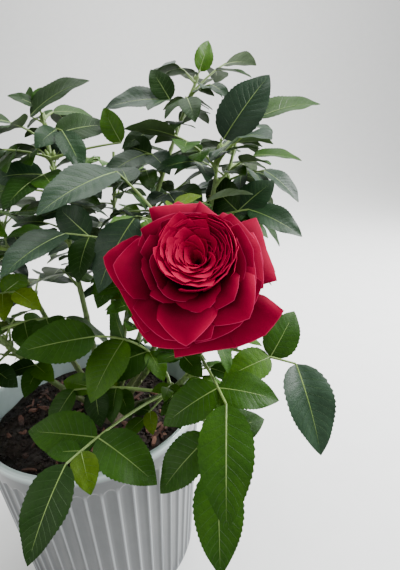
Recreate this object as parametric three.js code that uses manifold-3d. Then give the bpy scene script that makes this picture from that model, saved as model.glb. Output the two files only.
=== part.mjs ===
// A small rose bush with one open bloom, in its ribbed pot. Millimetres, +Z up, front towards -Y.
// The origin is the centre of the pot's flat underside.
import * as THREE from "three";
import { mergeVertices } from "three/addons/utils/BufferGeometryUtils.js";
import Module from "manifold-3d";

const wasm = await Module();
wasm.setup();

// Clearance between one piece and the next
const GAP = 0.3;

// Where pieces are joined, no face stays thinner than this
const SLIVER = 0.02;
const SLIVER_PASSES = 30;

// Pot: a tapered wall with upright ribs whose arched tops stop under a smooth band
const POT_HEIGHT = 120;
const POT_RIM_RADIUS = 65;
const POT_FOOT_RADIUS = 55;
const POT_WALL = 3;
const POT_FLOOR = 5;
const POT_EDGE = 1.2;
const RIB_COUNT = 50;
const RIB_DEPTH = 1.3;
const RIB_FOOT = 3;
const RIB_SHOULDER = 103;
const RIB_TOP = 108;

// Potting soil: it fills the pot to 16 mm under the rim
const SOIL_TOP = 104;
const SOIL_LUMP = 1.3;
const SOIL_WAVES = [0.21, 0.17, 0.09, 0.24];
const SOIL_COLUMNS = 40;
const SOIL_RINGS = 5;
const SOIL_LEVEL_RADIUS = 14;

// Root crown: the short woody base that all canes leave, cut flat at the soil
const CROWN_AT = [8, 3];
const CROWN_COLUMNS = 20;
const CROWN_LOBES = 5;
const CROWN_LOBE = 0.1;
const CROWN_PROFILE = [
  [12.5, 0],
  [10.5, 1.6],
  [9.2, 4.5],
  [8.8, 8.5],
  [7.2, 12],
  [3.8, 13.8],
];

// Canes: foot on the crown, heading at foot and tip (0 is +X, 90 is away from the front), lean from
// upright at foot and tip, length, girth radius at foot and tip, where the leafy part starts, and
// how many more leaves the rule adds to the ones listed under SHOWN_LEAVES, with their blade length
const CANES = {
  bloom: {
    foot: [14, -2], turn: [-29, -26], lean: [62, -19], bend: 2, length: 113,
    girth: [2.1, 1.4], leafy: 0.37, fill: 0, blade: 30,
  },
  front: {
    foot: [7, -4], turn: [-13, -13], lean: [32, 8], length: 132,
    girth: [1.9, 1.1], leafy: 0.42, fill: 3, blade: 32,
  },
  right: {
    foot: [16, 4], turn: [8, 38], lean: [42, 8], length: 170,
    girth: [2, 1.1], leafy: 0.36, fill: 4, blade: 36,
  },
  right_back: {
    foot: [14, 9], turn: [30, 46], lean: [46, 22], length: 186,
    girth: [2, 1.1], leafy: 0.34, fill: 6, blade: 37,
  },
  top: {
    foot: [10.5, 5], turn: [42, 38], lean: [14, 32], length: 206,
    girth: [2.2, 1], leafy: 0.36, fill: 5, blade: 35,
  },
  back: {
    foot: [8, 11], turn: [96, 80], lean: [50, 14], length: 176,
    girth: [2, 1.1], leafy: 0.34, fill: 7, blade: 37,
  },
  middle: {
    foot: [5, 4], turn: [140, 112], lean: [4, 20], length: 176,
    girth: [2.1, 1], leafy: 0.34, fill: 6, blade: 34,
  },
  left_back: {
    foot: [1, 8], turn: [146, 140], lean: [48, 12], length: 184,
    girth: [2, 1.1], leafy: 0.34, fill: 7, blade: 37,
  },
  left: {
    foot: [0, 1], turn: [200, 186], lean: [46, 10], length: 150,
    girth: [2, 1.1], leafy: 0.34, fill: 7, blade: 35,
  },
};
const CANE_FOOT = SOIL_TOP + 6;
const CANE_STEPS = 24;
const CANE_RINGS = 7;
const CANE_SIDES = 6;
const STEM_RINGS = 10;
const STEM_SIDES = 5;

// Leaves: a stalk with one blade at its end and one or two pairs of side blades
const STALK_STEPS = 6;
const STALK_RADIUS = [1, 0.7];
const STALK_RINGS = 3;
const STALK_SAG = 12;
const STALK_WAY_SHARE = 0.1;
const HUB_RADIUS = 0.56;
const PAIR_PLACES = [0.74, 0.44];
const BLADE_WIDTH = 0.56;
const BLADE_ROUNDED = 0.6;
const BLADE_TAPERED = 0.95;
const BLADE_CURL = 26;
const BLADE_FOLD = 14;
const BLADE_THICKNESS = 0.024;
const SHOWN_SECTIONS = [0.27, 0.62];
const DRAWN_SECTIONS = [0.42];
const DOT_STEP = 3.4;
const LEAST_DOT_ROWS = 3;
const LEAF_APART = 4;
const STALK_APART = 3;
const STALK_CLEAR = 0.1;
const TIP_DOT = 0.98;

// Leaves that the rule draws: how steeply a stalk rises, how far it sags, how long it is for one or
// two pairs of side blades, how the end blade hangs, and the same for the side blades
const DRAW_SEED = 77;
const DRAWN = {
  rise: [-5, 40], twoPairs: 0.5, stalk: [0.7, 1.05], stretch: [0.9, 1.15], sag: [10, 34],
  swing: [-10, 10], hang: [10, 40], roll: [-30, 30],
  share: [0.86, 0.72], sideTurn: [52, 76], follow: 0.4, sideHang: [5, 32], sideSize: [0.92, 1.06],
  sideRoll: [-35, 35],
};
const GOLDEN_TURN = 137.5;
const CANE_TURN = 50;
const TRY_TURN = 40;
const TURN_SPREAD = [-12, 12];
const TRIES = 9;
const FILL_UP = 0.05;
const SIZE_AT_FOOT = 1.08;
const SIZE_LOSS = 0.3;
const SIZE_SPREAD = [0.9, 1.1];

// Leaves with a place of their own: up the cane (0 foot, 1 tip), heading, rise and length of the
// stalk, and heading, rise, length and roll of each blade, the end blade first, then the pairs
const SHOWN_LEAVES = [
  {
    cane: "bloom", up: 0.73, turn: -74, rise: -2, stalk: 40,
    blades: [[265, -43, 47], [195, -27, 30, -25], [-11, -7, 28, 30]],
  },
  {
    cane: "bloom", up: 0.61, turn: -76, rise: -20, stalk: 51,
    blades: [[268, -46, 41], [207, -37, 34, -10], [19, 2, 29, 30]],
  },
  {
    cane: "bloom", up: 0.41, turn: 233, rise: 4, stalk: 68, sag: 20, pairs: [0.74, 0.88],
    blades: [[249, -38, 38], [178, 8, 33, -40], [-27, -25, 35, 15], [186, 4, 15, -30], [-52, -35, 19]],
  },
  {
    cane: "bloom", up: 0.78, turn: -20, rise: -3, stalk: 47,
    blades: [[-77, -46, 41], [43, 42, 27, 40], [202, -10, 26, -35]],
  },
  {
    cane: "bloom", up: 0.43, turn: 200, rise: 50, stalk: 60, sag: 80, pairs: [0.76, 0.5],
    blades: [[200, 0, 37, -45], [113, 45, 22, -70], [235, -40, 34, -10], [201, -11, 37, -35], [-53, -40, 18]],
  },
  {
    cane: "front", up: 0.97, turn: 190, rise: 20, stalk: 12,
    blades: [[216, -52, 42, -20]],
  },
  {
    cane: "front", up: 0.985, turn: 140, rise: 36, stalk: 36,
    blades: [[225, -17, 48, -20], [108, 14, 26]],
  },
  {
    cane: "front", up: 0.86, turn: 175, rise: 12, stalk: 47,
    blades: [[235, -15, 40, -10], [146, 32, 27, -50], [252, -48, 25]],
  },
  {
    cane: "right", up: 0.76, turn: -15, rise: 14, stalk: 24,
    blades: [[-31, -21, 34, 25], [20, 33, 28, 45], [120, 25, 34, -60]],
  },
  {
    cane: "right", up: 1, turn: 0, rise: 50, stalk: 4,
    blades: [[17, 50, 43, 55]],
  },
  {
    cane: "right", up: 0.98, turn: 43, rise: 26, stalk: 38,
    blades: [[6, 12, 40, 25], [100, 10, 24], [-50, -12, 20]],
  },
  {
    cane: "top", up: 1, turn: 49, rise: 70, stalk: 3,
    blades: [[49, 60, 20, 60]],
  },
  {
    cane: "top", up: 0.92, turn: 182, rise: 10, stalk: 14,
    blades: [[182, -5, 36, -35], [150, 55, 22, -50], [240, -12, 24]],
  },
  {
    cane: "top", up: 0.84, turn: 150, rise: 5, stalk: 15,
    blades: [[200, -25, 25, -40]],
  },
  {
    cane: "top", up: 0.76, turn: 200, rise: 10, stalk: 14,
    blades: [[218, -20, 30, -25], [140, 12, 26, -60], [300, -22, 24, 20]],
  },
  {
    cane: "middle", up: 0.86, turn: 5, rise: 10, stalk: 40,
    blades: [[142, 57, 23, -60]],
  },
  {
    cane: "middle", up: 0.93, turn: 30, rise: 10, stalk: 5,
    blades: [[33, 8, 34, 45]],
  },
  {
    cane: "middle", up: 0.97, turn: 180, rise: 30, stalk: 8,
    blades: [[2, 29, 39, 35]],
  },
  {
    cane: "middle", up: 1, turn: 140, rise: 40, stalk: 9,
    blades: [[118, 32, 16, -60], [200, 24, 15, -40], [60, 50, 13, 50]],
  },
  {
    cane: "middle", up: 0.82, turn: 250, rise: -5, stalk: 12,
    blades: [[242, -25, 30, -15], [186, 0, 28, -45], [300, -12, 26, 20]],
  },
  {
    cane: "left", up: 0.5, turn: 240, rise: 0, stalk: 26,
    blades: [[222, -30, 30, -15], [165, 18, 29, -50], [300, -42, 28]],
  },
  {
    cane: "left", up: 0.66, turn: 10, rise: 8, stalk: 24,
    blades: [[330, -22, 20, 20], [70, 10, 20, 50], [290, -30, 18]],
  },
];

// Bloom: the direction it faces, its neck, and its petals in rings from the outside, each petal with
// the angle it stands at round the axis (0 right, 90 up), how far its middle reaches, its width, how
// far its two corners fall short of that, and how much further the corner on its left reaches
const BLOOM_TURN = -90;
const BLOOM_RISE = 38;
const NECK_LENGTH = 15;
const NECK_STEPS = 6;
const NECK_RADIUS = 1.6;
const NECK_SIDES = 6;
const HIP_PROFILE = [
  [1.5, -2],
  [3.5, 0],
  [4.4, 3.5],
  [4, 7],
];
const PETAL_ROOT = 3;
const PETAL_THICKNESS = 1;
const PETAL_COLUMNS = 4;
const PETAL_TWIST = 2;
const PETAL_POINTED = 1.3;
const PETAL_BASE = 0.1;
const PETAL_SPREAD = 1.2;
const PETAL_CUP = 1.2;
const PETAL_LEAST_CUP = 14;
const PETAL_LIFT = 0.6;
const PETAL_STEPS = 12;
const PETAL_RINGS = [
  {
    open: [48, 102], rows: 3,
    petals: [
      [166, 41, 28, 0.3, 0], [98, 38, 20, 0.35, 0], [18, 37, 31, 0.02, 0.02], [-43, 42, 26, 0.1, 0.07],
      [-82, 35, 27, 0, 0], [-120, 36, 30, 0.2, 0], [-158, 32, 33, 0.04, -0.07],
    ],
  },
  {
    open: [44, 92], rows: 2,
    petals: [[102, 34, 23, 0, 0.02], [62, 30.5, 24, 0, 0.06]],
  },
  {
    open: [38, 82], rows: 2,
    petals: [[174, 33, 30, 0.28, 0], [18, 31, 38, 0.16, 0], [-52, 31, 40, 0.18, 0], [-112, 31, 38, 0.2, 0.04]],
  },
];
const PETAL_DOTS = 10;
const FACE_FROM = 20;
const FACE_TO = 70;
const FACE_RADIUS = 36;
const SEPAL_COUNT = 5;
const SEPAL_LENGTH = 24;
const SEPAL_TURN = 20;
const SEPAL_FALL = 0.25;
const SEPAL_ROOT = 1.5;
const SEPAL_WIDEST = 0.4;
const HEART_COLUMNS = 14;
const HEART_PROFILE = [
  [4, 2],
  [12, 9],
  [20, 17],
  [20.5, 20.5],
  [15, 23.5],
  [8.5, 24],
  [5, 21],
  [2.5, 17],
];

// Colours and finishes
const FINISH = {
  glaze: { color: 0xaab4b8, roughness: 0.35, metalness: 0 },
  soil: { color: 0x2b211b, roughness: 0.95, metalness: 0 },
  bark: { color: 0x9a9478, roughness: 0.8, metalness: 0 },
  cane: { color: 0x8d9a62, roughness: 0.6, metalness: 0 },
  leaf: { color: 0x2f5a1e, roughness: 0.5, metalness: 0 },
  petal: { color: 0xa00a28, roughness: 0.6, metalness: 0 },
};

const bush = new THREE.Group();
bush.name = "rose_bush";

const radians = THREE.MathUtils.degToRad;

// A direction from its heading and its rise above level, in degrees
function aim(turn, rise) {
  const t = radians(turn);
  const r = radians(rise);
  return new THREE.Vector3(
    Math.cos(t) * Math.cos(r),
    Math.sin(t) * Math.cos(r),
    Math.sin(r),
  );
}

// The same draws at every run: each call gives a number between low and high
let drawState = DRAW_SEED;
function draw([low, high]) {
  drawState = (drawState * 16807) % 2147483647;
  return low + ((high - low) * drawState) / 2147483647;
}

// A closed skin over rings of points, with a fan over each end ring, its faces turned outwards
function skinOver(rings) {
  const points = rings.flat();
  const n = rings[0].length;
  const faces = [];
  for (let i = 0; i + 1 < rings.length; i++) {
    for (let j = 0; j < n; j++) {
      const a = i * n + j;
      const b = i * n + ((j + 1) % n);
      faces.push([a, b, b + n], [a, b + n, a + n]);
    }
  }
  [0, rings.length - 1].forEach((i) => {
    const middle = new THREE.Vector3();
    rings[i].forEach((p) => middle.addScaledVector(p, 1 / n));
    points.push(middle);
    for (let j = 0; j < n; j++) {
      const edge = [i * n + j, i * n + ((j + 1) % n)];
      faces.push([points.length - 1, ...(i ? edge : edge.reverse())]);
    }
  });
  return closedGeometry(points, faces);
}

function closedGeometry(points, faces) {
  let volume = 0;
  faces.forEach(([a, b, c]) => {
    volume += points[a].dot(points[b].clone().cross(points[c]));
  });
  const order = volume < 0 ? faces.map(([a, b, c]) => [a, c, b]) : faces;
  const geometry = new THREE.BufferGeometry().setFromPoints(points);
  geometry.setIndex(order.flat());
  return geometry;
}

function toSolid(geometry) {
  const bare = geometry.clone();
  bare.deleteAttribute("normal");
  bare.deleteAttribute("uv");
  const merged = mergeVertices(bare, 1e-4);
  return new wasm.Manifold(
    new wasm.Mesh({
      numProp: 3,
      vertProperties: new Float32Array(merged.attributes.position.array),
      triVerts: new Uint32Array(merged.index.array),
    }),
  );
}

// The largest body of a solid: loose scraps go, and a hollow that joining sealed is filled
function largestBody(solid) {
  return solid.decompose().reduce((a, b) => (b.volume() > a.volume() ? b : a));
}

// A joined skin without slivers: the short side of a needle is closed up, and a flat sliver gives its
// long side to the face across it
function withoutSlivers(solid) {
  const { vertProperties, triVerts } = solid.getMesh();
  const count = vertProperties.length / 3;
  const points = Array.from({ length: count }, (_, i) => new THREE.Vector3().fromArray(vertProperties, 3 * i));
  let faces = Array.from({ length: triVerts.length / 3 }, (_, i) => [...triVerts.slice(3 * i, 3 * i + 3)]);
  for (let pass = 0; pass < SLIVER_PASSES; pass++) {
    const faceOf = new Map();
    const near = points.map(() => new Set());
    faces.forEach((face, i) =>
      face.forEach((a, k) => {
        const b = face[(k + 1) % 3];
        faceOf.set(a * count + b, i);
        near[a].add(b);
        near[b].add(a);
      }),
    );
    const locked = new Set();
    const merged = new Map();
    faces.forEach((face, i) => {
      if (face.some((a) => locked.has(a))) return;
      const sides = face.map((a, k) => [a, face[(k + 1) % 3], face[(k + 2) % 3]]);
      sides.sort((s, t) => points[s[0]].distanceTo(points[s[1]]) - points[t[0]].distanceTo(points[t[1]]));
      const [a, b, c] = sides[2];
      const along = points[b].clone().sub(points[a]);
      const height = along.clone().cross(points[c].clone().sub(points[a])).length() / along.length();
      if (height >= SLIVER) return;
      const [p, q] = sides[0];
      const shared = [...near[p]].filter((v) => near[q].has(v));
      if (points[p].distanceTo(points[q]) < 2 * SLIVER && shared.length === 2) {
        if ([...near[p], ...near[q]].some((v) => locked.has(v))) return;
        merged.set(q, p);
        [...near[p], ...near[q]].forEach((v) => locked.add(v));
        return;
      }
      const other = faceOf.get(b * count + a);
      const d = faces[other].find((v) => v !== a && v !== b);
      if (locked.has(d) || near[c].has(d)) return;
      faces[i] = [a, d, c];
      faces[other] = [d, b, c];
      [a, b, c, d].forEach((v) => locked.add(v));
    });
    if (!locked.size) break;
    faces = faces
      .map((face) => face.map((v) => merged.get(v) ?? v))
      .filter(([a, b, c]) => a !== b && b !== c && c !== a);
  }
  const used = [...new Set(faces.flat())];
  const place = new Map(used.map((v, i) => [v, i]));
  return new wasm.Manifold(
    new wasm.Mesh({
      numProp: 3,
      vertProperties: new Float32Array(used.flatMap((v) => points[v].toArray())),
      triVerts: new Uint32Array(faces.flat().map((v) => place.get(v))),
    }),
  );
}

function joined(geometries) {
  return withoutSlivers(largestBody(geometries.map(toSolid).reduce((a, b) => a.add(b))));
}

function addPiece(name, solid, finish) {
  const mesh = solid.getMesh();
  const geometry = new THREE.BufferGeometry();
  geometry.setAttribute("position", new THREE.BufferAttribute(mesh.vertProperties, 3));
  geometry.setIndex(new THREE.BufferAttribute(mesh.triVerts, 1));
  const piece = new THREE.Mesh(geometry, new THREE.MeshStandardMaterial(finish));
  piece.name = name;
  bush.add(piece);
}

function ring(radiusAt, z, columns, centre = [0, 0]) {
  return Array.from({ length: columns }, (_, i) => {
    const a = (2 * Math.PI * i) / columns;
    const r = radiusAt(a, i);
    return new THREE.Vector3(centre[0] + r * Math.cos(a), centre[1] + r * Math.sin(a), z);
  });
}

// A tapering round limb along a line of points
function limb(points, radii, steps, sides) {
  const curve = new THREE.CatmullRomCurve3(points);
  const frames = curve.computeFrenetFrames(steps, false);
  const rings = [];
  for (let i = 0; i <= steps; i++) {
    const centre = curve.getPointAt(i / steps);
    const radius = THREE.MathUtils.lerp(radii[0], radii[1], i / steps);
    rings.push(
      Array.from({ length: sides }, (_, j) => {
        const a = (2 * Math.PI * j) / sides;
        return centre
          .clone()
          .addScaledVector(frames.normals[i], radius * Math.cos(a))
          .addScaledVector(frames.binormals[i], radius * Math.sin(a));
      }),
    );
  }
  return skinOver(rings);
}

// Pot
function potRadius(z) {
  return THREE.MathUtils.lerp(POT_FOOT_RADIUS, POT_RIM_RADIUS, z / POT_HEIGHT);
}

function pot() {
  const columns = 2 * RIB_COUNT;
  const smooth = (z, inset = 0) => ring(() => potRadius(z) - inset, z, columns);
  const ribbed = (z, depth) =>
    ring((_, i) => potRadius(z) - (i % 2 ? 0 : depth), z, columns);
  return toSolid(
    skinOver([
      smooth(0, POT_EDGE),
      smooth(POT_EDGE),
      ribbed(RIB_FOOT, RIB_DEPTH),
      ribbed(RIB_SHOULDER, RIB_DEPTH),
      smooth(RIB_TOP),
      smooth(POT_HEIGHT - POT_EDGE),
      smooth(POT_HEIGHT, POT_EDGE),
      smooth(POT_HEIGHT, POT_WALL),
      smooth(POT_FLOOR, POT_WALL),
    ]),
  );
}
addPiece("pot", pot(), FINISH.glaze);

// Potting soil: level round the root crown, lumpy towards the wall
function soilHeight(x, y) {
  const away = Math.hypot(x - CROWN_AT[0], y - CROWN_AT[1]) - SOIL_LEVEL_RADIUS;
  const rough = THREE.MathUtils.smoothstep(away, 0, SOIL_LEVEL_RADIUS);
  const [a, b, c, d] = SOIL_WAVES;
  const wave = Math.sin(x * a + 1) * Math.cos(y * b) + Math.sin(x * c - y * d);
  return SOIL_TOP + (rough * SOIL_LUMP * wave) / 2;
}

function pottingSoil() {
  const inner = (z) => potRadius(z) - POT_WALL - GAP;
  const bottom = POT_FLOOR + GAP;
  const rings = [ring(() => inner(bottom), bottom, SOIL_COLUMNS)];
  for (let i = SOIL_RINGS; i > 0; i--) {
    const level = ring(() => (inner(SOIL_TOP - SOIL_LUMP) * i) / SOIL_RINGS, 0, SOIL_COLUMNS);
    level.forEach((p) => p.setZ(soilHeight(p.x, p.y)));
    rings.push(level);
  }
  return toSolid(skinOver(rings));
}
addPiece("potting_soil", pottingSoil(), FINISH.soil);

// Root crown, and the same form grown by the gap, which clears the canes' feet
function rootCrown(grow) {
  const rings = CROWN_PROFILE.map(([radius, height], i) => {
    const lobe = CROWN_LOBE * (1 - i / CROWN_PROFILE.length);
    const z = SOIL_TOP + GAP + height + (i ? grow : -grow);
    return ring(
      (a) => radius * (1 + lobe * Math.cos(CROWN_LOBES * a)) + grow,
      z,
      CROWN_COLUMNS,
      CROWN_AT,
    );
  });
  return toSolid(skinOver(rings));
}
addPiece("root_crown", rootCrown(0), FINISH.bark);
const crownCut = rootCrown(GAP);

// The line of a cane, worked out in short steps from its heading and lean
function caneLine(cane) {
  const at = new THREE.Vector3(cane.foot[0], cane.foot[1], CANE_FOOT);
  const line = [at.clone()];
  for (let i = 0; i < CANE_STEPS; i++) {
    const f = (i + 0.5) / CANE_STEPS;
    const turn = THREE.MathUtils.lerp(...cane.turn, f);
    const lean = THREE.MathUtils.lerp(...cane.lean, f ** (cane.bend ?? 1));
    at.addScaledVector(aim(turn, 90 - lean), cane.length / CANE_STEPS);
    line.push(at.clone());
  }
  return line;
}

function along(line, up) {
  const x = THREE.MathUtils.clamp(up, 0, 1) * (line.length - 1);
  const i = Math.min(Math.floor(x), line.length - 2);
  return line[i].clone().lerp(line[i + 1], x - i);
}

function stretch(line, from, to, count) {
  return Array.from({ length: count + 1 }, (_, i) => along(line, from + ((to - from) * i) / count));
}

function girthAt(cane, up) {
  return THREE.MathUtils.lerp(cane.girth[0], cane.girth[1], up);
}

// Space keeps limbs and leaves apart: dots with an owner, sorted into cells
const cells = new Map();
const CELL_SPAN = 1024;
const cellKey = (...cell) => cell.reduce((key, v) => key * CELL_SPAN + v + CELL_SPAN / 2, 0);
const cellOf = (v) => Math.floor(v / LEAF_APART);

function takeSpace(dots, owner) {
  dots.forEach((p) => {
    const key = cellKey(cellOf(p.x), cellOf(p.y), cellOf(p.z));
    if (!cells.has(key)) cells.set(key, []);
    cells.get(key).push([p, owner]);
  });
}

function touches(dots, apart, ownOwners) {
  return dots.some((p) => {
    for (let i = -1; i < 2; i++) {
      for (let j = -1; j < 2; j++) {
        for (let k = -1; k < 2; k++) {
          const key = cellKey(cellOf(p.x) + i, cellOf(p.y) + j, cellOf(p.z) + k);
          const near = cells.get(key) ?? [];
          if (near.some(([q, o]) => !ownOwners.includes(o) && p.distanceTo(q) < apart)) return true;
        }
      }
    }
    return false;
  });
}

function lineDots(line, from, to) {
  let length = 0;
  for (let i = 1; i < line.length; i++) length += line[i].distanceTo(line[i - 1]);
  const count = Math.max(1, Math.round((length * (to - from)) / DOT_STEP));
  return stretch(line, from, to, count);
}

// A stalk sags: it starts above its mean rise and ends below it
function stalkLine(root, leaf) {
  const at = root.clone();
  const line = [root.clone()];
  const sag = leaf.sag ?? STALK_SAG;
  for (let i = 0; i < STALK_STEPS; i++) {
    const f = (i + 0.5) / STALK_STEPS;
    at.addScaledVector(aim(leaf.turn, leaf.rise + sag * (0.5 - f)), leaf.stalk / STALK_STEPS);
    line.push(at.clone());
  }
  return line;
}

// A blade: its root, its direction along, across and off its face, and its length
function bladeAt(root, [turn, rise, length, roll = 0]) {
  const ahead = aim(turn, rise);
  const up = new THREE.Vector3(0, 0, 1).addScaledVector(ahead, -ahead.z).normalize();
  const side = ahead.clone().cross(up);
  side.applyAxisAngle(ahead, radians(roll));
  up.applyAxisAngle(ahead, radians(roll));
  return { root, ahead, up, side, length };
}

// Half the width of a blade at a fraction of its length: round at its root, pointed at its tip and 1
// at its widest
function bladeOutline(f) {
  return f ** BLADE_ROUNDED * (1 - f) ** BLADE_TAPERED;
}
const BLADE_WIDEST = bladeOutline(BLADE_ROUNDED / (BLADE_ROUNDED + BLADE_TAPERED));

function bladeHalf(f) {
  return f <= 0 || f >= 1 ? 0 : bladeOutline(f) / BLADE_WIDEST;
}

// A point of a blade: f along it, across from -1 to 1, and lifted off its face. It bends down along
// its length and is folded a little along its middle
function bladePoint(blade, f, across, lift = 0) {
  const curl = radians(BLADE_CURL);
  const a = curl * (f - 0.5);
  const bendRadius = blade.length / curl;
  const x = bendRadius * (Math.sin(a) + Math.sin(curl / 2));
  const z = bendRadius * (Math.cos(a) - Math.cos(curl / 2));
  const half = (blade.length * BLADE_WIDTH * bladeHalf(f) * across) / 2;
  const fold = radians(BLADE_FOLD);
  const off = Math.abs(half) * Math.sin(fold) + lift;
  return blade.root
    .clone()
    .addScaledVector(blade.ahead, x + off * Math.sin(a))
    .addScaledVector(blade.up, z + off * Math.cos(a))
    .addScaledVector(blade.side, half * Math.cos(fold));
}

function bladeDots(blade) {
  const rows = Math.max(LEAST_DOT_ROWS, Math.round(blade.length / DOT_STEP));
  const dots = [];
  for (let i = 1; i <= rows; i++) {
    const f = Math.min(TIP_DOT, i / rows);
    const half = (blade.length * BLADE_WIDTH * bladeHalf(f)) / 2;
    const columns = Math.round(half / DOT_STEP);
    for (let j = -columns; j <= columns; j++) {
      dots.push(bladePoint(blade, f, columns ? j / columns : 0));
    }
  }
  return dots;
}

// The four corners of a blade's section at f: one edge, top, other edge, underside
function bladeRing(blade, f, side = 1) {
  const thick = (blade.length * BLADE_THICKNESS) / 2;
  return [
    bladePoint(blade, f, -side),
    bladePoint(blade, f, 0, thick),
    bladePoint(blade, f, side),
    bladePoint(blade, f, 0, -thick),
  ];
}

// The same four corners of a stalk where it runs along a direction
function stalkRing(centre, ahead, radius) {
  const up = new THREE.Vector3(0, 0, 1).addScaledVector(ahead, -ahead.z).normalize();
  const side = ahead.clone().cross(up);
  return [[side, -1], [up, 1], [side, 1], [up, -1]].map(([axis, sign]) =>
    centre.clone().addScaledVector(axis, sign * radius),
  );
}

function stalkWay(stalk, f) {
  return along(stalk, f + STALK_WAY_SHARE).sub(along(stalk, f - STALK_WAY_SHARE)).normalize();
}

// A skin over rings of four corners that runs to a point at its end, and at its start where given
function pointedSkin(rings, tip, start) {
  const points = [...rings.flat(), tip];
  const last = 4 * (rings.length - 1);
  const faces = start ? [] : [[0, 1, 2], [0, 2, 3]];
  if (start) points.push(start);
  for (let i = 0; i < 4; i++) {
    const j = (i + 1) % 4;
    for (let k = 0; k < last; k += 4) {
      faces.push([k + i, k + 4 + j, k + j], [k + i, k + 4 + i, k + 4 + j]);
    }
    faces.push([last + i, last + 4, last + j]);
    if (start) faces.push([last + 5, i, j]);
  }
  return closedGeometry(points, faces);
}

// A leaf's pieces: the stalk that runs out into the end blade, and for each pair of side blades one
// piece from tip to tip through the stalk
function leafGeometries({ stalk, places, blades, sections }) {
  const rings = [];
  for (let i = 0; i <= STALK_RINGS; i++) {
    const f = i / STALK_RINGS;
    const radius = THREE.MathUtils.lerp(...STALK_RADIUS, f);
    rings.push(stalkRing(along(stalk, f), stalkWay(stalk, f), radius));
  }
  sections.forEach((f) => rings.push(bladeRing(blades[0], f)));
  const pieces = [pointedSkin(rings, bladePoint(blades[0], 1, 0))];
  places.forEach((place, k) => {
    const [left, right] = [blades[2 * k + 1], blades[2 * k + 2]];
    const centre = along(stalk, place);
    const way = stalkWay(stalk, place);
    const across = way.cross(new THREE.Vector3(0, 0, 1)).normalize();
    const out = (blade, side) => sections.map((f) => bladeRing(blade, f, side));
    if (left && right) {
      const hub = stalkRing(centre, across, HUB_RADIUS);
      const path = [...out(right, -1).reverse(), hub, ...out(left, 1)];
      pieces.push(pointedSkin(path, bladePoint(left, 1, 0), bladePoint(right, 1, 0)));
    } else if (left || right) {
      const blade = left || right;
      const root = stalkRing(centre, blade.ahead, HUB_RADIUS);
      pieces.push(pointedSkin([root, ...out(blade, 1)], bladePoint(blade, 1, 0)));
    }
  });
  return pieces;
}

// A leaf that no list gives: its stalk and blades are drawn round a heading
function drawnLeaf(up, turn, length) {
  const rise = draw(DRAWN.rise);
  const pairs = draw([0, 1]) < DRAWN.twoPairs ? 2 : 1;
  const stalk = length * DRAWN.stalk[pairs - 1] * draw(DRAWN.stretch);
  const sag = draw(DRAWN.sag);
  const end = rise - sag / 2;
  const blades = [[turn + draw(DRAWN.swing), end - draw(DRAWN.hang), length, draw(DRAWN.roll)]];
  for (let k = 0; k < pairs; k++) {
    [1, -1].forEach((side) => {
      const heading = turn + side * draw(DRAWN.sideTurn);
      const fall = DRAWN.follow * end - draw(DRAWN.sideHang);
      const size = length * DRAWN.share[k] * draw(DRAWN.sideSize);
      blades.push([heading, fall, size, draw(DRAWN.sideRoll)]);
    });
  }
  return { up, turn, rise, stalk, sag, blades };
}

function growLeaf(line, leaf) {
  const stalk = stalkLine(along(line, leaf.up), leaf);
  const places = leaf.pairs ?? PAIR_PLACES;
  const blades = leaf.blades.map((sizes, k) =>
    bladeAt(k ? along(stalk, places[Math.floor((k - 1) / 2)]) : along(stalk, 1), sizes),
  );
  return { stalk, places, blades };
}

// Bloom: petals stand in rings round an axis and open outwards from the hip
const facing = aim(BLOOM_TURN, BLOOM_RISE);
const bloomRight = new THREE.Vector3(1, 0, 0);
const bloomUp = facing.clone().cross(bloomRight);

const petals = PETAL_RINGS.flatMap(({ petals: places, ...form }) =>
  places.map(([angle, reach, width, point, skew]) => ({ ...form, angle, reach, width, point, skew })),
);

// A point of the bloom: angle round the axis (0 right, 90 up), distance from it and height along it
function bloomPoint(hip, angle, radius, height, sideways = 0) {
  const a = radians(angle);
  return hip
    .clone()
    .addScaledVector(facing, height)
    .addScaledVector(bloomRight, radius * Math.cos(a) - sideways * Math.sin(a))
    .addScaledVector(bloomUp, radius * Math.sin(a) + sideways * Math.cos(a));
}

// The middle line of a petal, as distance from the axis, height and opening angle
function petalRise(petal, f) {
  const openAt = (g) => radians(THREE.MathUtils.lerp(...petal.open, g));
  let spread = 0;
  for (let i = 0; i < PETAL_STEPS; i++) spread += Math.sin(openAt((i + 0.5) / PETAL_STEPS));
  const length = ((petal.reach - PETAL_ROOT) * PETAL_STEPS) / spread;
  let radius = PETAL_ROOT;
  let height = 0;
  for (let i = 0; i < PETAL_STEPS; i++) {
    const open = openAt(((i + 0.5) / PETAL_STEPS) * f);
    radius += (Math.sin(open) * length * f) / PETAL_STEPS;
    height += (Math.cos(open) * length * f) / PETAL_STEPS;
  }
  return { radius, height, open: openAt(f) };
}

// A petal is narrow at its root, cupped round the axis, lies over its neighbour on one side, and
// runs out to a point or to two corners
function petalPoint(hip, petal, f, across, lift) {
  const reach = f * (1 - petal.point * Math.abs(across) ** PETAL_POINTED + petal.skew * across);
  const { radius, height, open } = petalRise(petal, reach);
  const half = (petal.width / 2) * Math.min(1, PETAL_BASE + PETAL_SPREAD * f);
  const cup = Math.max(radius * PETAL_CUP, PETAL_LEAST_CUP);
  const swing = (half * across) / cup;
  const inset = cup * (1 - Math.cos(swing));
  const off = lift * PETAL_THICKNESS + PETAL_TWIST * across * f;
  return bloomPoint(
    hip,
    petal.angle,
    radius - (inset + off) * Math.cos(open),
    height + (inset * PETAL_LIFT + off) * Math.sin(open),
    cup * Math.sin(swing),
  );
}

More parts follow.
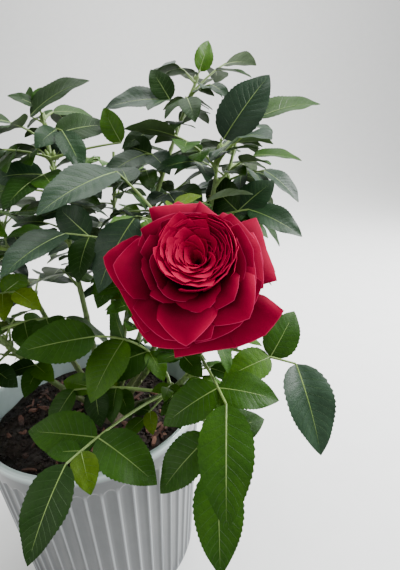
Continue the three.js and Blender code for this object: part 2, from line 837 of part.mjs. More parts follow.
function petalGeometry(hip, petal) {
  const points = [];
  const faces = [];
  const columns = PETAL_COLUMNS;
  const { rows } = petal;
  const at = (i, j, side) => (side * (rows + 1) + i) * (columns + 1) + j;
  for (let side = 0; side < 2; side++) {
    for (let i = 0; i <= rows; i++) {
      for (let j = 0; j <= columns; j++) {
        points.push(petalPoint(hip, petal, i / rows, (2 * j) / columns - 1, side - 0.5));
      }
    }
  }
  const quad = (a, b, c, d) => faces.push([a, b, c], [a, c, d]);
  for (let i = 0; i < rows; i++) {
    for (let j = 0; j < columns; j++) {
      quad(at(i, j, 0), at(i, j + 1, 0), at(i + 1, j + 1, 0), at(i + 1, j, 0));
      quad(at(i, j, 1), at(i + 1, j, 1), at(i + 1, j + 1, 1), at(i, j + 1, 1));
    }
    quad(at(i, 0, 0), at(i + 1, 0, 0), at(i + 1, 0, 1), at(i, 0, 1));
    quad(at(i, columns, 0), at(i, columns, 1), at(i + 1, columns, 1), at(i + 1, columns, 0));
  }
  for (let j = 0; j < columns; j++) {
    quad(at(0, j, 0), at(0, j, 1), at(0, j + 1, 1), at(0, j + 1, 0));
    quad(at(rows, j, 0), at(rows, j + 1, 0), at(rows, j + 1, 1), at(rows, j, 1));
  }
  return closedGeometry(points, faces);
}

// The neck bends from the cane's tip over to the way the bloom faces
function neckLine(line) {
  const at = line.at(-1).clone();
  const start = at.clone().sub(line.at(-2)).normalize();
  at.addScaledVector(start, GAP);
  const points = [at.clone()];
  for (let i = 0; i < NECK_STEPS; i++) {
    const way = start.clone().lerp(facing, (i + 0.5) / NECK_STEPS).normalize();
    at.addScaledVector(way, NECK_LENGTH / NECK_STEPS);
    points.push(at.clone());
  }
  return points;
}

function lathed(hip, profile) {
  return skinOver(
    profile.map(([radius, height]) =>
      Array.from({ length: HEART_COLUMNS }, (_, j) =>
        bloomPoint(hip, (360 * j) / HEART_COLUMNS, radius, height),
      ),
    ),
  );
}

// The sepals stand behind the petals, evenly round the hip
function sepalsAt(hip) {
  return Array.from({ length: SEPAL_COUNT }, (_, i) => {
    const angle = (360 * i) / SEPAL_COUNT + SEPAL_TURN;
    const out = bloomPoint(new THREE.Vector3(), angle, 1, -SEPAL_FALL).normalize();
    const turn = THREE.MathUtils.radToDeg(Math.atan2(out.y, out.x));
    const rise = THREE.MathUtils.radToDeg(Math.asin(out.z));
    return bladeAt(hip, [turn, rise, SEPAL_LENGTH]);
  });
}

function roseBloom(neck) {
  const hip = neck.at(-1);
  const pieces = [
    limb(neck, [girthAt(CANES.bloom, 1), NECK_RADIUS], NECK_STEPS, NECK_SIDES),
    lathed(hip, HIP_PROFILE),
    lathed(hip, HEART_PROFILE),
  ];
  sepalsAt(hip).forEach((sepal) => {
    const root = stalkRing(hip, sepal.ahead, SEPAL_ROOT);
    pieces.push(pointedSkin([root, bladeRing(sepal, SEPAL_WIDEST)], bladePoint(sepal, 1, 0)));
  });
  petals.forEach((petal) => pieces.push(petalGeometry(hip, petal)));
  return pieces;
}

// Growing order: limbs take their space first, then the bloom, the listed leaves and the drawn ones
const lines = {};
const masses = {};
Object.entries(CANES).forEach(([name, cane]) => {
  lines[name] = caneLine(cane);
  masses[name] = [];
  takeSpace(lineDots(lines[name], 0, 1), name);
});

const neck = neckLine(lines.bloom);
const hip = neck.at(-1);
const bloomDots = [...lineDots(neck, 0, 1), ...sepalsAt(hip).flatMap(bladeDots)];
petals.forEach((petal) => {
  for (let i = 2; i <= PETAL_DOTS; i++) {
    for (let j = -PETAL_DOTS; j <= PETAL_DOTS; j += 2) {
      bloomDots.push(petalPoint(hip, petal, i / PETAL_DOTS, j / PETAL_DOTS, 0));
    }
  }
});
// Nothing grows before the bloom's face either
for (let height = FACE_FROM; height <= FACE_TO; height += LEAF_APART) {
  for (let radius = 0; radius <= FACE_RADIUS; radius += LEAF_APART) {
    const count = Math.max(1, Math.round((2 * Math.PI * radius) / LEAF_APART));
    for (let i = 0; i < count; i++) bloomDots.push(bloomPoint(hip, (360 * i) / count, radius, height));
  }
}

SHOWN_LEAVES.forEach((leaf, i) => {
  const grown = growLeaf(lines[leaf.cane], leaf);
  takeSpace(lineDots(grown.stalk, STALK_CLEAR, 1), "leaf " + i);
  grown.blades.forEach((blade) => takeSpace(bladeDots(blade), "leaf " + i));
  masses[leaf.cane].push({ ...grown, sections: SHOWN_SECTIONS });
});
takeSpace(bloomDots, "bloom");

Object.entries(CANES).forEach(([name, cane], index) => {
  for (let i = 0; i < cane.fill; i++) {
    const up = THREE.MathUtils.lerp(cane.leafy + FILL_UP, 1, (i + 0.5) / cane.fill);
    const size = cane.blade * (SIZE_AT_FOOT - SIZE_LOSS * up) * draw(SIZE_SPREAD);
    for (let attempt = 0; attempt < TRIES; attempt++) {
      const turn = CANE_TURN * index + GOLDEN_TURN * i + TRY_TURN * attempt + draw(TURN_SPREAD);
      const leaf = drawnLeaf(up, turn, size);
      const grown = growLeaf(lines[name], leaf);
      if (touches(lineDots(grown.stalk, STALK_CLEAR, 1), STALK_APART, [name])) continue;
      const free = grown.blades.map((blade) => (touches(bladeDots(blade), LEAF_APART, []) ? null : blade));
      if (!free[0] || free.filter(Boolean).length < free.length - 1) continue;
      const owner = name + " " + i;
      takeSpace(lineDots(grown.stalk, STALK_CLEAR, 1), owner);
      free.filter(Boolean).forEach((blade) => takeSpace(bladeDots(blade), owner));
      masses[name].push({ ...grown, blades: free, sections: DRAWN_SECTIONS });
      break;
    }
  }
});

// Canes up to where their leaves start, then each leafy mass with its stem
Object.entries(CANES).forEach(([name, cane]) => {
  const line = lines[name];
  const start = cane.leafy + GAP / cane.length;
  const girth = [cane.girth[0], girthAt(cane, cane.leafy)];
  const foot = limb(stretch(line, 0, cane.leafy, CANE_RINGS), girth, CANE_RINGS, CANE_SIDES);
  addPiece("cane_" + name, withoutSlivers(largestBody(toSolid(foot).subtract(crownCut))), FINISH.cane);
  const stem = limb(stretch(line, start, 1, STEM_RINGS), [girthAt(cane, start), cane.girth[1]],
    STEM_RINGS, STEM_SIDES);
  const parts = [stem];
  masses[name].forEach((leaf) => parts.push(...leafGeometries(leaf)));
  addPiece("foliage_" + name, joined(parts), FINISH.leaf);
});

addPiece("rose_bloom", joined(roseBloom(neck)), FINISH.petal);

export default bush;
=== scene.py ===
import math

import bpy
import numpy as np
from mathutils import Matrix, Vector, noise


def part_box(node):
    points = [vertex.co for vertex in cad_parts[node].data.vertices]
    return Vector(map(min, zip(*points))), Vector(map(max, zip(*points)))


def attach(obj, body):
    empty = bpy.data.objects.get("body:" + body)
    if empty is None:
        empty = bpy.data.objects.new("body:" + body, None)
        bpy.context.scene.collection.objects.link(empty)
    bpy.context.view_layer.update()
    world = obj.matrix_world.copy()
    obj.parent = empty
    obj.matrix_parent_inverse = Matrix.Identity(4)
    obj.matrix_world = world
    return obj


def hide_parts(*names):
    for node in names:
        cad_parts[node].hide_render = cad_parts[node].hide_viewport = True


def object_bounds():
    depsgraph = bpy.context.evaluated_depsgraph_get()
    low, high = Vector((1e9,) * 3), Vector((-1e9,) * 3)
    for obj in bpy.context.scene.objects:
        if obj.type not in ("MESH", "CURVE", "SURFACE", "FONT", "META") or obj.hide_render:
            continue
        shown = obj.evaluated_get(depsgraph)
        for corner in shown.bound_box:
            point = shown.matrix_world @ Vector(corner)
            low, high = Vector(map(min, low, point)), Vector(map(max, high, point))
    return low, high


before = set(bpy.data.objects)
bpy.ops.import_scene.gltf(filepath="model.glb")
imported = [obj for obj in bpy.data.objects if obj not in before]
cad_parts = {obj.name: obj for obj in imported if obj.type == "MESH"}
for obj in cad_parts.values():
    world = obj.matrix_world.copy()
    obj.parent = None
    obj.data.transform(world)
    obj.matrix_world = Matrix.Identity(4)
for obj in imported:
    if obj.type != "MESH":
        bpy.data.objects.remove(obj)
cad_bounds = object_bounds()


# Pot
# A slip-cast, glazed ceramic pot, 130 mm across its rolled rim and 120 mm high. Its tapered wall has
# 50 narrow upright ribs, and the hollows between them end in small arches under a smooth band.
MM = 0.001
POT_HEIGHT = 120
POT_RIM_RADIUS = 65
POT_FOOT_RADIUS = 55
POT_WALL = 3
POT_FLOOR = 5
POT_EDGE = 1.2
RIB_COUNT = 50
RIB_DEPTH = 1.3
RIB_WIDTH = 0.17
RIB_FOOT = 3
RIB_SHOULDER = 102
RIB_ARCH = 6
RIB_FADE = 1.6
RIB_SAMPLES = 10
RIB_RISE = 5
RIM_STEPS = 9
INSIDE_RINGS = 5
INSIDE_FROM = 4
SMOOTH_ANGLE = 50
# The wall's rings lie close together where the arches are
WALL_HEIGHTS = [2, RIB_FOOT, 4.5, 7, *np.linspace(14, 94, 12), *np.arange(97, 111, 0.8), 112, 115]


def closed_ring(radius, height, angles):
    points = np.stack([radius * np.cos(angles), radius * np.sin(angles)], -1)
    return np.concatenate([points, np.full((len(angles), 1), height)], -1)


def skin_faces(rows, columns):
    """Four-cornered faces over rows of points that close on themselves."""
    index = np.arange(rows * columns).reshape(rows, columns)
    beside = np.roll(index, -1, axis=1)
    return np.stack([index[:-1], beside[:-1], beside[1:], index[1:]], -1).reshape(-1, 4)


def cap_faces(first, columns):
    corners = np.arange(1, columns - 1)
    return first + np.stack([np.zeros_like(corners), corners, corners + 1], -1)


def closed_skin(points, rows, columns, mark=0):
    """The points with faces over their rows and a cap at each end."""
    caps = [(cap_faces(0, columns)[:, ::-1], mark), (cap_faces(len(points) - columns, columns), mark)]
    return points, [(skin_faces(rows, columns), mark), *caps]


def outward(points, groups):
    """The same faces, all turned over if they look into the piece."""
    volume = 0
    for faces, _ in groups:
        a = points[faces[:, 0]]
        for k in range(1, faces.shape[1] - 1):
            volume += np.einsum("ij,ij->i", a, np.cross(points[faces[:, k]], points[faces[:, k + 1]])).sum()
    return groups if volume > 0 else [(faces[:, ::-1], marks) for faces, marks in groups]


def join_up(name, parts, finishes, replaced):
    """Joins parts, each with points in millimetres and groups of faces with their finish, in one piece."""
    corners, sizes, marks, first = [], [], [], 0
    for points, groups in parts:
        for faces, mark in outward(points, groups):
            corners.append((faces + first).ravel())
            sizes.append(np.full(len(faces), faces.shape[1]))
            marks.append(np.broadcast_to(mark, len(faces)))
        first += len(points)
    corners, sizes, marks = np.concatenate(corners), np.concatenate(sizes), np.concatenate(marks)
    mesh = bpy.data.meshes.new(name)
    mesh.vertices.add(first)
    mesh.vertices.foreach_set("co", (np.concatenate([p for p, _ in parts]) * MM).ravel())
    mesh.loops.add(len(corners))
    mesh.loops.foreach_set("vertex_index", corners)
    mesh.polygons.add(len(sizes))
    mesh.polygons.foreach_set("loop_start", np.cumsum(sizes) - sizes)
    for finish in finishes:
        mesh.materials.append(finish)
    mesh.polygons.foreach_set("material_index", marks)
    mesh.update(calc_edges=True)
    mesh.validate()
    mesh.shade_smooth()
    mesh.set_sharp_from_angle(angle=math.radians(SMOOTH_ANGLE))
    piece = bpy.data.objects.new(name, mesh)
    bpy.context.scene.collection.objects.link(piece)
    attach(piece, "root")
    if replaced:
        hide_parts(*replaced)
    return piece


def pot_radius(height):
    return POT_FOOT_RADIUS + (POT_RIM_RADIUS - POT_FOOT_RADIUS) * height / POT_HEIGHT


def pot_skin():
    angles = np.linspace(0, 2 * math.pi, RIB_COUNT * RIB_SAMPLES, endpoint=False)
    # 0 at a hollow's middle, half way round to the next one is a rib's crest
    beside = angles * RIB_COUNT / (2 * math.pi) % 1
    crest = np.exp(-(((beside - 0.5) / RIB_WIDTH) ** 2))
    arch = RIB_SHOULDER + RIB_ARCH * np.sqrt(np.clip(1 - (2 * np.minimum(beside, 1 - beside)) ** 2, 0, 1))
    rings = [closed_ring(POT_FOOT_RADIUS - POT_EDGE, 0, angles)]
    rings.append(closed_ring(pot_radius(0.4) - POT_EDGE / 3, 0.4, angles))
    rings.append(closed_ring(pot_radius(POT_EDGE), POT_EDGE, angles))
    for height in WALL_HEIGHTS:
        low = np.clip((height - POT_EDGE) / RIB_RISE, 0, 1)
        high = np.clip((arch - height) / RIB_FADE, 0, 1)
        share = low * low * (3 - 2 * low) * high * high * (3 - 2 * high)
        rings.append(closed_ring(pot_radius(height) - RIB_DEPTH * share * (1 - crest), height, angles))
    # The rolled rim is a half circle over the wall
    half_wall = POT_WALL / 2
    for turn in np.linspace(0, math.pi, RIM_STEPS):
        radius = POT_RIM_RADIUS - half_wall + half_wall * math.cos(turn)
        height = POT_HEIGHT - half_wall + half_wall * math.sin(turn)
        rings.append(closed_ring(radius, height, angles))
    for height in np.linspace(POT_HEIGHT - INSIDE_FROM, POT_FLOOR + 1, INSIDE_RINGS - 1):
        rings.append(closed_ring(pot_radius(height) - POT_WALL, height, angles))
    rings.append(closed_ring(pot_radius(POT_FLOOR) - POT_WALL - 1, POT_FLOOR, angles))
    points = np.concatenate(rings)
    faces = skin_faces(len(rings), len(angles))
    # The inside starts where the wall goes down again behind the rim
    inside = (np.arange(len(faces)) >= (len(rings) - INSIDE_RINGS - 1) * len(angles)).astype(int)
    groups = [(faces, inside), (cap_faces(0, len(angles))[:, ::-1], 0)]
    groups.append((cap_faces(len(points) - len(angles), len(angles)), 1))
    return points, groups


def new_material(name, roughness, **values):
    """A material with its shader's plain values set on the shader's own sockets."""
    material = bpy.data.materials.new(name)
    material.use_nodes = True
    shader = material.node_tree.nodes["Principled BSDF"]
    shader.inputs["Roughness"].default_value = roughness
    for socket, value in values.items():
        shader.inputs[socket.replace("_", " ")].default_value = value
    return material, material.node_tree, shader


def add_node(tree, kind, values=(), links=()):
    """A node with values on its sockets or settings, fed by (its socket, another node's output)."""
    node = tree.nodes.new(kind)
    for name, value in dict(values).items():
        if isinstance(name, int) or name in node.inputs:
            node.inputs[name].default_value = value
        else:
            setattr(node, name, value)
    for name, output in dict(links).items():
        tree.links.new(output, node.inputs[name])
    return node


def group_of(name, inputs, outputs):
    """An empty node group with named inputs (name, kind, value) and outputs (name, kind)."""
    tree = bpy.data.node_groups.new(name, "ShaderNodeTree")
    for label, kind, value in inputs:
        socket = tree.interface.new_socket(label, in_out="INPUT", socket_type=kind)
        socket.default_value = value
    for label, kind in outputs:
        tree.interface.new_socket(label, in_out="OUTPUT", socket_type=kind)
    return tree, tree.nodes.new("NodeGroupInput"), tree.nodes.new("NodeGroupOutput")


# The places of a Mix node's two colours among its inputs, and of the blended one among its outputs
FIRST, SECOND, BLENDED = 6, 7, 2


def mixed(tree, share, first, second):
    """The blend of two colours, each another node's output or a plain colour."""
    node = add_node(tree, "ShaderNodeMix", {"data_type": "RGBA"}, {"Factor": share})
    for socket, colour in ((FIRST, first), (SECOND, second)):
        if isinstance(colour, tuple):
            node.inputs[socket].default_value = (*colour, 1)
        else:
            tree.links.new(colour, node.inputs[socket])
    return node.outputs[BLENDED]


def ramp(tree, value, low, high, **to):
    """A value carried from the range low to high over to 0 to 1, or to the given ends."""
    ends = {"From Min": low, "From Max": high, **{"To " + end.title(): number for end, number in to.items()}}
    return add_node(tree, "ShaderNodeMapRange", ends, {"Value": value}).outputs["Result"]


def math_node(tree, operation, first, second=None, **settings):
    """The result of a Math node, whose second operand may be a number."""
    values, links = {"operation": operation, **settings}, {0: first}
    if isinstance(second, (int, float)):
        values[1] = second
    elif second is not None:
        links[1] = second
    return add_node(tree, "ShaderNodeMath", values, links).outputs["Value"]


def noise_node(tree, place, scale, detail):
    node = add_node(tree, "ShaderNodeTexNoise", {"Detail": detail}, {"Vector": place})
    if isinstance(scale, (int, float)):
        node.inputs["Scale"].default_value = scale
    else:
        tree.links.new(scale, node.inputs["Scale"])
    return node.outputs["Fac"]


def darkened(tree, colour, share):
    node = add_node(tree, "ShaderNodeVectorMath", {"operation": "SCALE"}, {0: colour, "Scale": share})
    return node.outputs["Vector"]


# Mottle: two colours in soft patches of a given size, with a fine grain that also gives a height
COLOUR = "NodeSocketColor"
NUMBER = "NodeSocketFloat"
mottle, given, sent = group_of(
    "mottle",
    [
        ("Colour", COLOUR, (0.5, 0.5, 0.5, 1)),
        ("Other Colour", COLOUR, (0.3, 0.3, 0.3, 1)),
        ("Patch Scale", NUMBER, 40),
        ("Grain Scale", NUMBER, 900),
        ("Grain", NUMBER, 0.3),
    ],
    [("Colour", COLOUR), ("Height", NUMBER)],
)
place = add_node(mottle, "ShaderNodeTexCoord").outputs["Object"]
patches = noise_node(mottle, place, given.outputs["Patch Scale"], 3)
grain = noise_node(mottle, place, given.outputs["Grain Scale"], 4)
spread = ramp(mottle, patches, 0.35, 0.65)
both = mixed(mottle, spread, given.outputs["Colour"], given.outputs["Other Colour"])
shade = add_node(mottle, "ShaderNodeMapRange", {"From Min": 0.3, "From Max": 0.7}, {"Value": grain})
deepest = add_node(mottle, "ShaderNodeMath", {"operation": "SUBTRACT", 0: 1.0}, {1: given.outputs["Grain"]})
mottle.links.new(deepest.outputs["Value"], shade.inputs["To Min"])
mottle.links.new(darkened(mottle, both, shade.outputs["Result"]), sent.inputs["Colour"])
mottle.links.new(grain, sent.inputs["Height"])


def mottled(tree, colour, other, patch_scale, grain_scale, grain_share):
    node = add_node(tree, "ShaderNodeGroup", {"node_tree": mottle})
    for label, value in (("Colour", (*colour, 1)), ("Other Colour", (*other, 1))):
        node.inputs[label].default_value = value
    for label, value in (("Patch Scale", patch_scale), ("Grain Scale", grain_scale), ("Grain", grain_share)):
        node.inputs[label].default_value = value
    return node


def bump(tree, shader, height, depth_mm, strength=1.0):
    values = {"Distance": depth_mm * MM, "Strength": strength}
    relief = add_node(tree, "ShaderNodeBump", values, {"Height": height})
    tree.links.new(relief.outputs["Normal"], shader.inputs["Normal"])


def mottled_material(name, roughness, colour, other, scales, grain_share, depth_mm=0, **values):
    """A material of two mottled colours, with the relief of its grain where a depth is given."""
    material, tree, shader = new_material(name, roughness, **values)
    surface = mottled(tree, colour, other, *scales, grain_share)
    tree.links.new(surface.outputs["Colour"], shader.inputs["Base Color"])
    if depth_mm:
        bump(tree, shader, surface.outputs["Height"], depth_mm)
    return material


# Painted shade and light: the outside glaze is a dark, shaded copy of the pot's pale aqua grey, the rim and
# the inside get lighter, lit copies of it, and each rib's crest gets a painted highlight
GLAZE_SHADED = (0.075, 0.08, 0.083)
GLAZE_SHADED_DARKER = (0.056, 0.062, 0.066)
GLAZE_CREST_HIGHLIGHT = (0.26, 0.275, 0.285)
GLAZE_RIM_LIT = (0.42, 0.52, 0.5)
GLAZE_INNER_LIT = (0.5, 0.6, 0.59)
GLAZE_ROUGHNESS = 0.28
GLAZE_COAT = dict(Coat_Weight=0.35, Coat_Roughness=0.12)
GLAZE_PATTERN = (22, 260)
GLAZE_GRAIN = 0.08
GLAZE_RELIEF = 0.03
glaze, tree, shader = new_material("pot_glaze", GLAZE_ROUGHNESS, **GLAZE_COAT)
surface = mottled(tree, GLAZE_SHADED, GLAZE_SHADED_DARKER, *GLAZE_PATTERN, GLAZE_GRAIN)
place = add_node(tree, "ShaderNodeTexCoord")
split = add_node(tree, "ShaderNodeSeparateXYZ", links={"Vector": place.outputs["Object"]})
turn = math_node(tree, "ARCTAN2", split.outputs["Y"], split.outputs["X"])
wave = math_node(tree, "COSINE", math_node(tree, "MULTIPLY", turn, RIB_COUNT))
# Painted highlight along each rib's crest, but only under the arches
crest_highlight = ramp(tree, wave, -0.75, -1.0)
under = ramp(tree, split.outputs["Z"], (RIB_SHOULDER + RIB_ARCH) * MM, RIB_SHOULDER * MM)
crest_highlighted = mixed(tree, math_node(tree, "MULTIPLY", crest_highlight, under), surface.outputs["Colour"], GLAZE_CREST_HIGHLIGHT)
# Painted light: towards the top the wall turns to the lighter, lit glaze of the rim
lip = ramp(tree, split.outputs["Z"], (POT_HEIGHT - 2 * POT_WALL) * MM, (POT_HEIGHT - POT_WALL / 2) * MM)
tree.links.new(mixed(tree, lip, crest_highlighted, GLAZE_RIM_LIT), shader.inputs["Base Color"])
bump(tree, shader, surface.outputs["Height"], GLAZE_RELIEF)
# Painted light: the inside is a lighter, lit copy of the glaze
inner_glaze = mottled_material(
    "pot_inner_glaze_lit",
    GLAZE_ROUGHNESS,
    GLAZE_RIM_LIT,
    GLAZE_INNER_LIT,
    GLAZE_PATTERN,
    GLAZE_GRAIN,
    GLAZE_RELIEF,
    **GLAZE_COAT,
)
join_up("ribbed_pot", [pot_skin()], [glaze, inner_glaze], ["pot"])


# Potting soil
# Damp peat with coarse bark, filled to 16 mm under the rim: a lumpy bed, loose crumbs on it, reddish
# bark chips that lie flat, and a few pale bits of wood.
SOIL_TOP = 104
SOIL_LUMP = 1.3
SOIL_LEVEL_RADIUS = 14
SOIL_GAP = 0.3
SOIL_RINGS = 70
SOIL_COLUMNS = 220
CROWN_AT = (8, 3)
CRUMB_COUNT = 2200
CHIP_COUNT = 100
PALE_COUNT = 20
SOIL_SEED = 11
# Scale and height of the soil's lumps and of its grit
LUMPS = (0.16, 1.1)
GRIT = (0.8, 0.4)
SOIL_CALM = 14
CRUMB_SIZE = (0.5, 1.7)
CRUMB_SQUASH = (0.6, 1.3)
CRUMB_LIFT = (0.1, 0.6)
CRUMB_TILT = 60
CRUMB_REACH = 59
CHIP_LENGTH = (3, 11)
CHIP_WIDTH = (1.2, 4)
CHIP_THICKNESS = (0.5, 1.3)
CHIP_BEND = (-0.8, 0.8)
CHIP_NARROWED = 0.45
CHIP_RAGGED = (0.8, 1.1)
CHIP_SLIP = (-0.3, 0.3)
CHIP_LIFT = (0.5, 1.6)
CHIP_TILT = 16
CHIP_REACH = 52


class Draw:
    """The same draws at every run: each call gives a number between low and high."""

    def __init__(self, seed):
        self.state = seed

    def __call__(self, low, high):
        self.state = self.state * 16807 % 2147483647
        return low + (high - low) * self.state / 2147483647


def soil_height(x, y):
    away = np.clip((np.hypot(x - CROWN_AT[0], y - CROWN_AT[1]) - SOIL_LEVEL_RADIUS) / SOIL_LEVEL_RADIUS, 0, 1)
    rough = away * away * (3 - 2 * away)
    swell = np.sin(x * 0.21 + 1) * np.cos(y * 0.17) + np.sin(x * 0.09 - y * 0.24)
    return SOIL_TOP + rough * SOIL_LUMP * swell / 2


def soil_bed():
    angles = np.linspace(0, 2 * math.pi, SOIL_COLUMNS, endpoint=False)
    reach = pot_radius(SOIL_TOP - 2) - POT_WALL - SOIL_GAP
    rings = [closed_ring(pot_radius(POT_FLOOR) - POT_WALL - 2, POT_FLOOR + 1, angles)]
    rings.append(closed_ring(reach - 0.5, SOIL_TOP - 4, angles))
    for share in np.linspace(1, 0.01, SOIL_RINGS):
        level = closed_ring(reach * share, 0, angles)
        for point in level:
            x, y = point[:2]
            lump = noise.fractal(Vector((x * LUMPS[0], y * LUMPS[0], 3.1)), 1.0, 2.1, 4)
            grit = noise.fractal(Vector((x * GRIT[0], y * GRIT[0], 7.7)), 1.0, 2.0, 3)
            calm = min(1.0, (1 - share) * SOIL_CALM)
            point[2] = soil_height(x, y) + calm * (LUMPS[1] * lump + GRIT[1] * grit)
        rings.append(level)
    return closed_skin(np.concatenate(rings), len(rings), SOIL_COLUMNS)


LUMP_FACES = np.array(
    [(0, 2, 4), (2, 1, 4), (1, 3, 4), (3, 0, 4), (2, 0, 5), (1, 2, 5), (3, 1, 5), (0, 3, 5)]
)


def turned(points, draw, tilt):
    """Points turned about a drawn heading, with a drawn tilt and roll."""
    about_z = Matrix.Rotation(draw(0, 2 * math.pi), 3, "Z")
    about_x = Matrix.Rotation(math.radians(draw(-tilt, tilt)), 3, "X")
    about_y = Matrix.Rotation(math.radians(draw(-tilt, tilt)), 3, "Y")
    return points @ np.array(about_z @ (about_x @ about_y)).T


def soil_place(draw, reach):
    """A drawn place on the soil, clear of the crown and of the pot's wall."""
    while True:
        x, y = draw(-reach, reach), draw(-reach, reach)
        if math.hypot(x, y) < reach and math.hypot(x - CROWN_AT[0], y - CROWN_AT[1]) > SOIL_LEVEL_RADIUS:
            return np.array([x, y, soil_height(x, y)])


def crumbs(draw, count):
    """Small rough lumps with six corners."""
    parts = []
    corners = np.array([(1, 0, 0), (-1, 0, 0), (0, 1, 0), (0, -1, 0), (0, 0, 1), (0, 0, -1)], float)
    for _ in range(count):
        size = draw(*CRUMB_SIZE)
        shape = corners * size * np.array([[draw(*CRUMB_SQUASH)] * 3 for _ in corners])
        place = soil_place(draw, CRUMB_REACH - CRUMB_SIZE[1])
        place[2] += size * draw(*CRUMB_LIFT)
        parts.append((turned(shape, draw, CRUMB_TILT) + place, [(LUMP_FACES, 0)]))
    return parts


def chips(draw, count):
    """Flat splinters of bark: a bent strip with ragged ends."""
    parts = []
    for _ in range(count):
        length, width, thick = draw(*CHIP_LENGTH), draw(*CHIP_WIDTH), draw(*CHIP_THICKNESS)
        bend = draw(*CHIP_BEND)
        rows = []
        for f in (-1, -0.5, 0, 0.5, 1):
            half = width / 2 * (1 - CHIP_NARROWED * abs(f) ** 2) * draw(*CHIP_RAGGED)
            x = f * length / 2
            z = bend * (1 - f * f)
            slip = draw(*CHIP_SLIP)
            over = [(x + slip, -half, z), (x, -half * 0.5, z + thick), (x - slip, half, z + thick * 0.7)]
            rows.append([*over, (x, half * 0.6, z - 0.2)])
        points = np.array(rows, float).reshape(-1, 3)
        place = soil_place(draw, CHIP_REACH)
        place[2] += draw(*CHIP_LIFT)
        parts.append(closed_skin(turned(points, draw, CHIP_TILT) + place, len(rows), len(rows[0])))
    return parts


PEAT = (0.012, 0.008, 0.006)
PEAT_LIGHT = (0.035, 0.02, 0.013)
CHIP = (0.16, 0.06, 0.038)
CHIP_DARK = (0.05, 0.02, 0.012)
PALE_WOOD = (0.38, 0.2, 0.14)
peat = mottled_material("peat", 0.85, PEAT, PEAT_LIGHT, (120, 900), 0.5, 0.6)
chip_bark = mottled_material("chip_bark", 0.7, CHIP, CHIP_DARK, (90, 1200), 0.5, 0.3)
pale_wood = mottled_material("pale_wood", 0.75, PALE_WOOD, CHIP, (60, 1100), 0.4, 0.2)
soil_draw = Draw(SOIL_SEED)
join_up("soil_bed", [soil_bed()], [peat], ["potting_soil"])
join_up("soil_crumbs", crumbs(soil_draw, CRUMB_COUNT), [peat], [])
join_up("bark_chips", chips(soil_draw, CHIP_COUNT), [chip_bark], [])
join_up("pale_chips", chips(soil_draw, PALE_COUNT), [pale_wood], [])


# Root crown
# The short woody base of the bush, which stands on the soil: grey-brown bark with upright cracks,
# over five low root shoulders that fade out towards its top.
CROWN_PROFILE = ((12.5, 0), (10.5, 1.6), (9.2, 4.5), (8.8, 8.5), (7.2, 12), (3.8, 13.8))
CROWN_LOBES = 5
CROWN_LOBE = 0.1
CROWN_RINGS = 60
CROWN_COLUMNS = 120
CROWN_INSET = 0.5
CROWN_CRACK = 0.07


def root_crown():
    angles = np.linspace(0, 2 * math.pi, CROWN_COLUMNS, endpoint=False)
    radii, heights = np.array(CROWN_PROFILE).T
    walk = np.linspace(0, len(radii) - 1, CROWN_RINGS)
    rings = []
    for at in walk:
        radius = np.interp(at, range(len(radii)), radii)
        height = np.interp(at, range(len(heights)), heights)
        lobe = CROWN_LOBE * (1 - at / len(radii))
        ring = closed_ring(radius * (1 + lobe * np.cos(CROWN_LOBES * angles)) - CROWN_INSET, 0, angles)
        for point in ring:
            crack = noise.fractal(Vector((point[0] * 0.5, point[1] * 0.5, height * 0.12)), 1.0, 2.2, 4)
            point[:2] *= 1 + CROWN_CRACK * crack
        ring[:, :2] += CROWN_AT
        ring[:, 2] = SOIL_TOP + SOIL_GAP + height
        rings.append(ring)
    return closed_skin(np.concatenate(rings), CROWN_RINGS, CROWN_COLUMNS)


BARK = (0.12, 0.095, 0.055)
BARK_DARK = (0.04, 0.028, 0.016)
bark = mottled_material("crown_bark", 0.8, BARK, BARK_DARK, (150, 700), 0.45, 0.5)
join_up("crown", [root_crown()], [bark], ["root_crown"])


# Canes
# Nine stems from the crown: woody and beige at the foot, green higher up, with a low ring at each
# node, fine cracks in the bark and small hooked prickles. The leafy part of each follows further on.
GAP = 0.3
CANES = {
    "bloom": dict(
        foot=(14, -2), turn=(-29, -26), lean=(62, -19), bend=2, length=113,
        girth=(2.1, 1.4), leafy=0.37, fill=0, blade=30,
    ),
    "front": dict(
        foot=(7, -4), turn=(-13, -13), lean=(32, 8), length=132,
        girth=(1.9, 1.1), leafy=0.42, fill=3, blade=32,
    ),
    "right": dict(
        foot=(16, 4), turn=(8, 38), lean=(42, 8), length=170,
        girth=(2, 1.1), leafy=0.36, fill=4, blade=36,
    ),
    "right_back": dict(
        foot=(14, 9), turn=(30, 46), lean=(46, 22), length=186,
        girth=(2, 1.1), leafy=0.34, fill=6, blade=37,
    ),
    "top": dict(
        foot=(10.5, 5), turn=(42, 38), lean=(14, 32), length=206,
        girth=(2.2, 1), leafy=0.36, fill=5, blade=35,
    ),
    "back": dict(
        foot=(8, 11), turn=(96, 80), lean=(50, 14), length=176,
        girth=(2, 1.1), leafy=0.34, fill=7, blade=37,
    ),
    "middle": dict(
        foot=(5, 4), turn=(140, 112), lean=(4, 20), length=176,
        girth=(2.1, 1), leafy=0.34, fill=6, blade=34,
    ),
    "left_back": dict(
        foot=(1, 8), turn=(146, 140), lean=(48, 12), length=184,
        girth=(2, 1.1), leafy=0.34, fill=7, blade=37,
    ),
    "left": dict(
        foot=(0, 1), turn=(200, 186), lean=(46, 10), length=150,
        girth=(2, 1.1), leafy=0.34, fill=7, blade=35,
    ),
}
CANE_FOOT = SOIL_TOP + 6
CANE_STEPS = 24
CANE_SIDES = 18
CANE_RINGS = 90
CANE_RELIEF = 0.14
NODE_EVERY = 17
NODE_WIDTH = 0.06
NODE_SWELL = 0.28
PRICKLE_LENGTH = 3.2
PRICKLE_EVERY = 13
PRICKLE_REACH = (0.08, 0.9)
PRICKLE_SIDES = 7
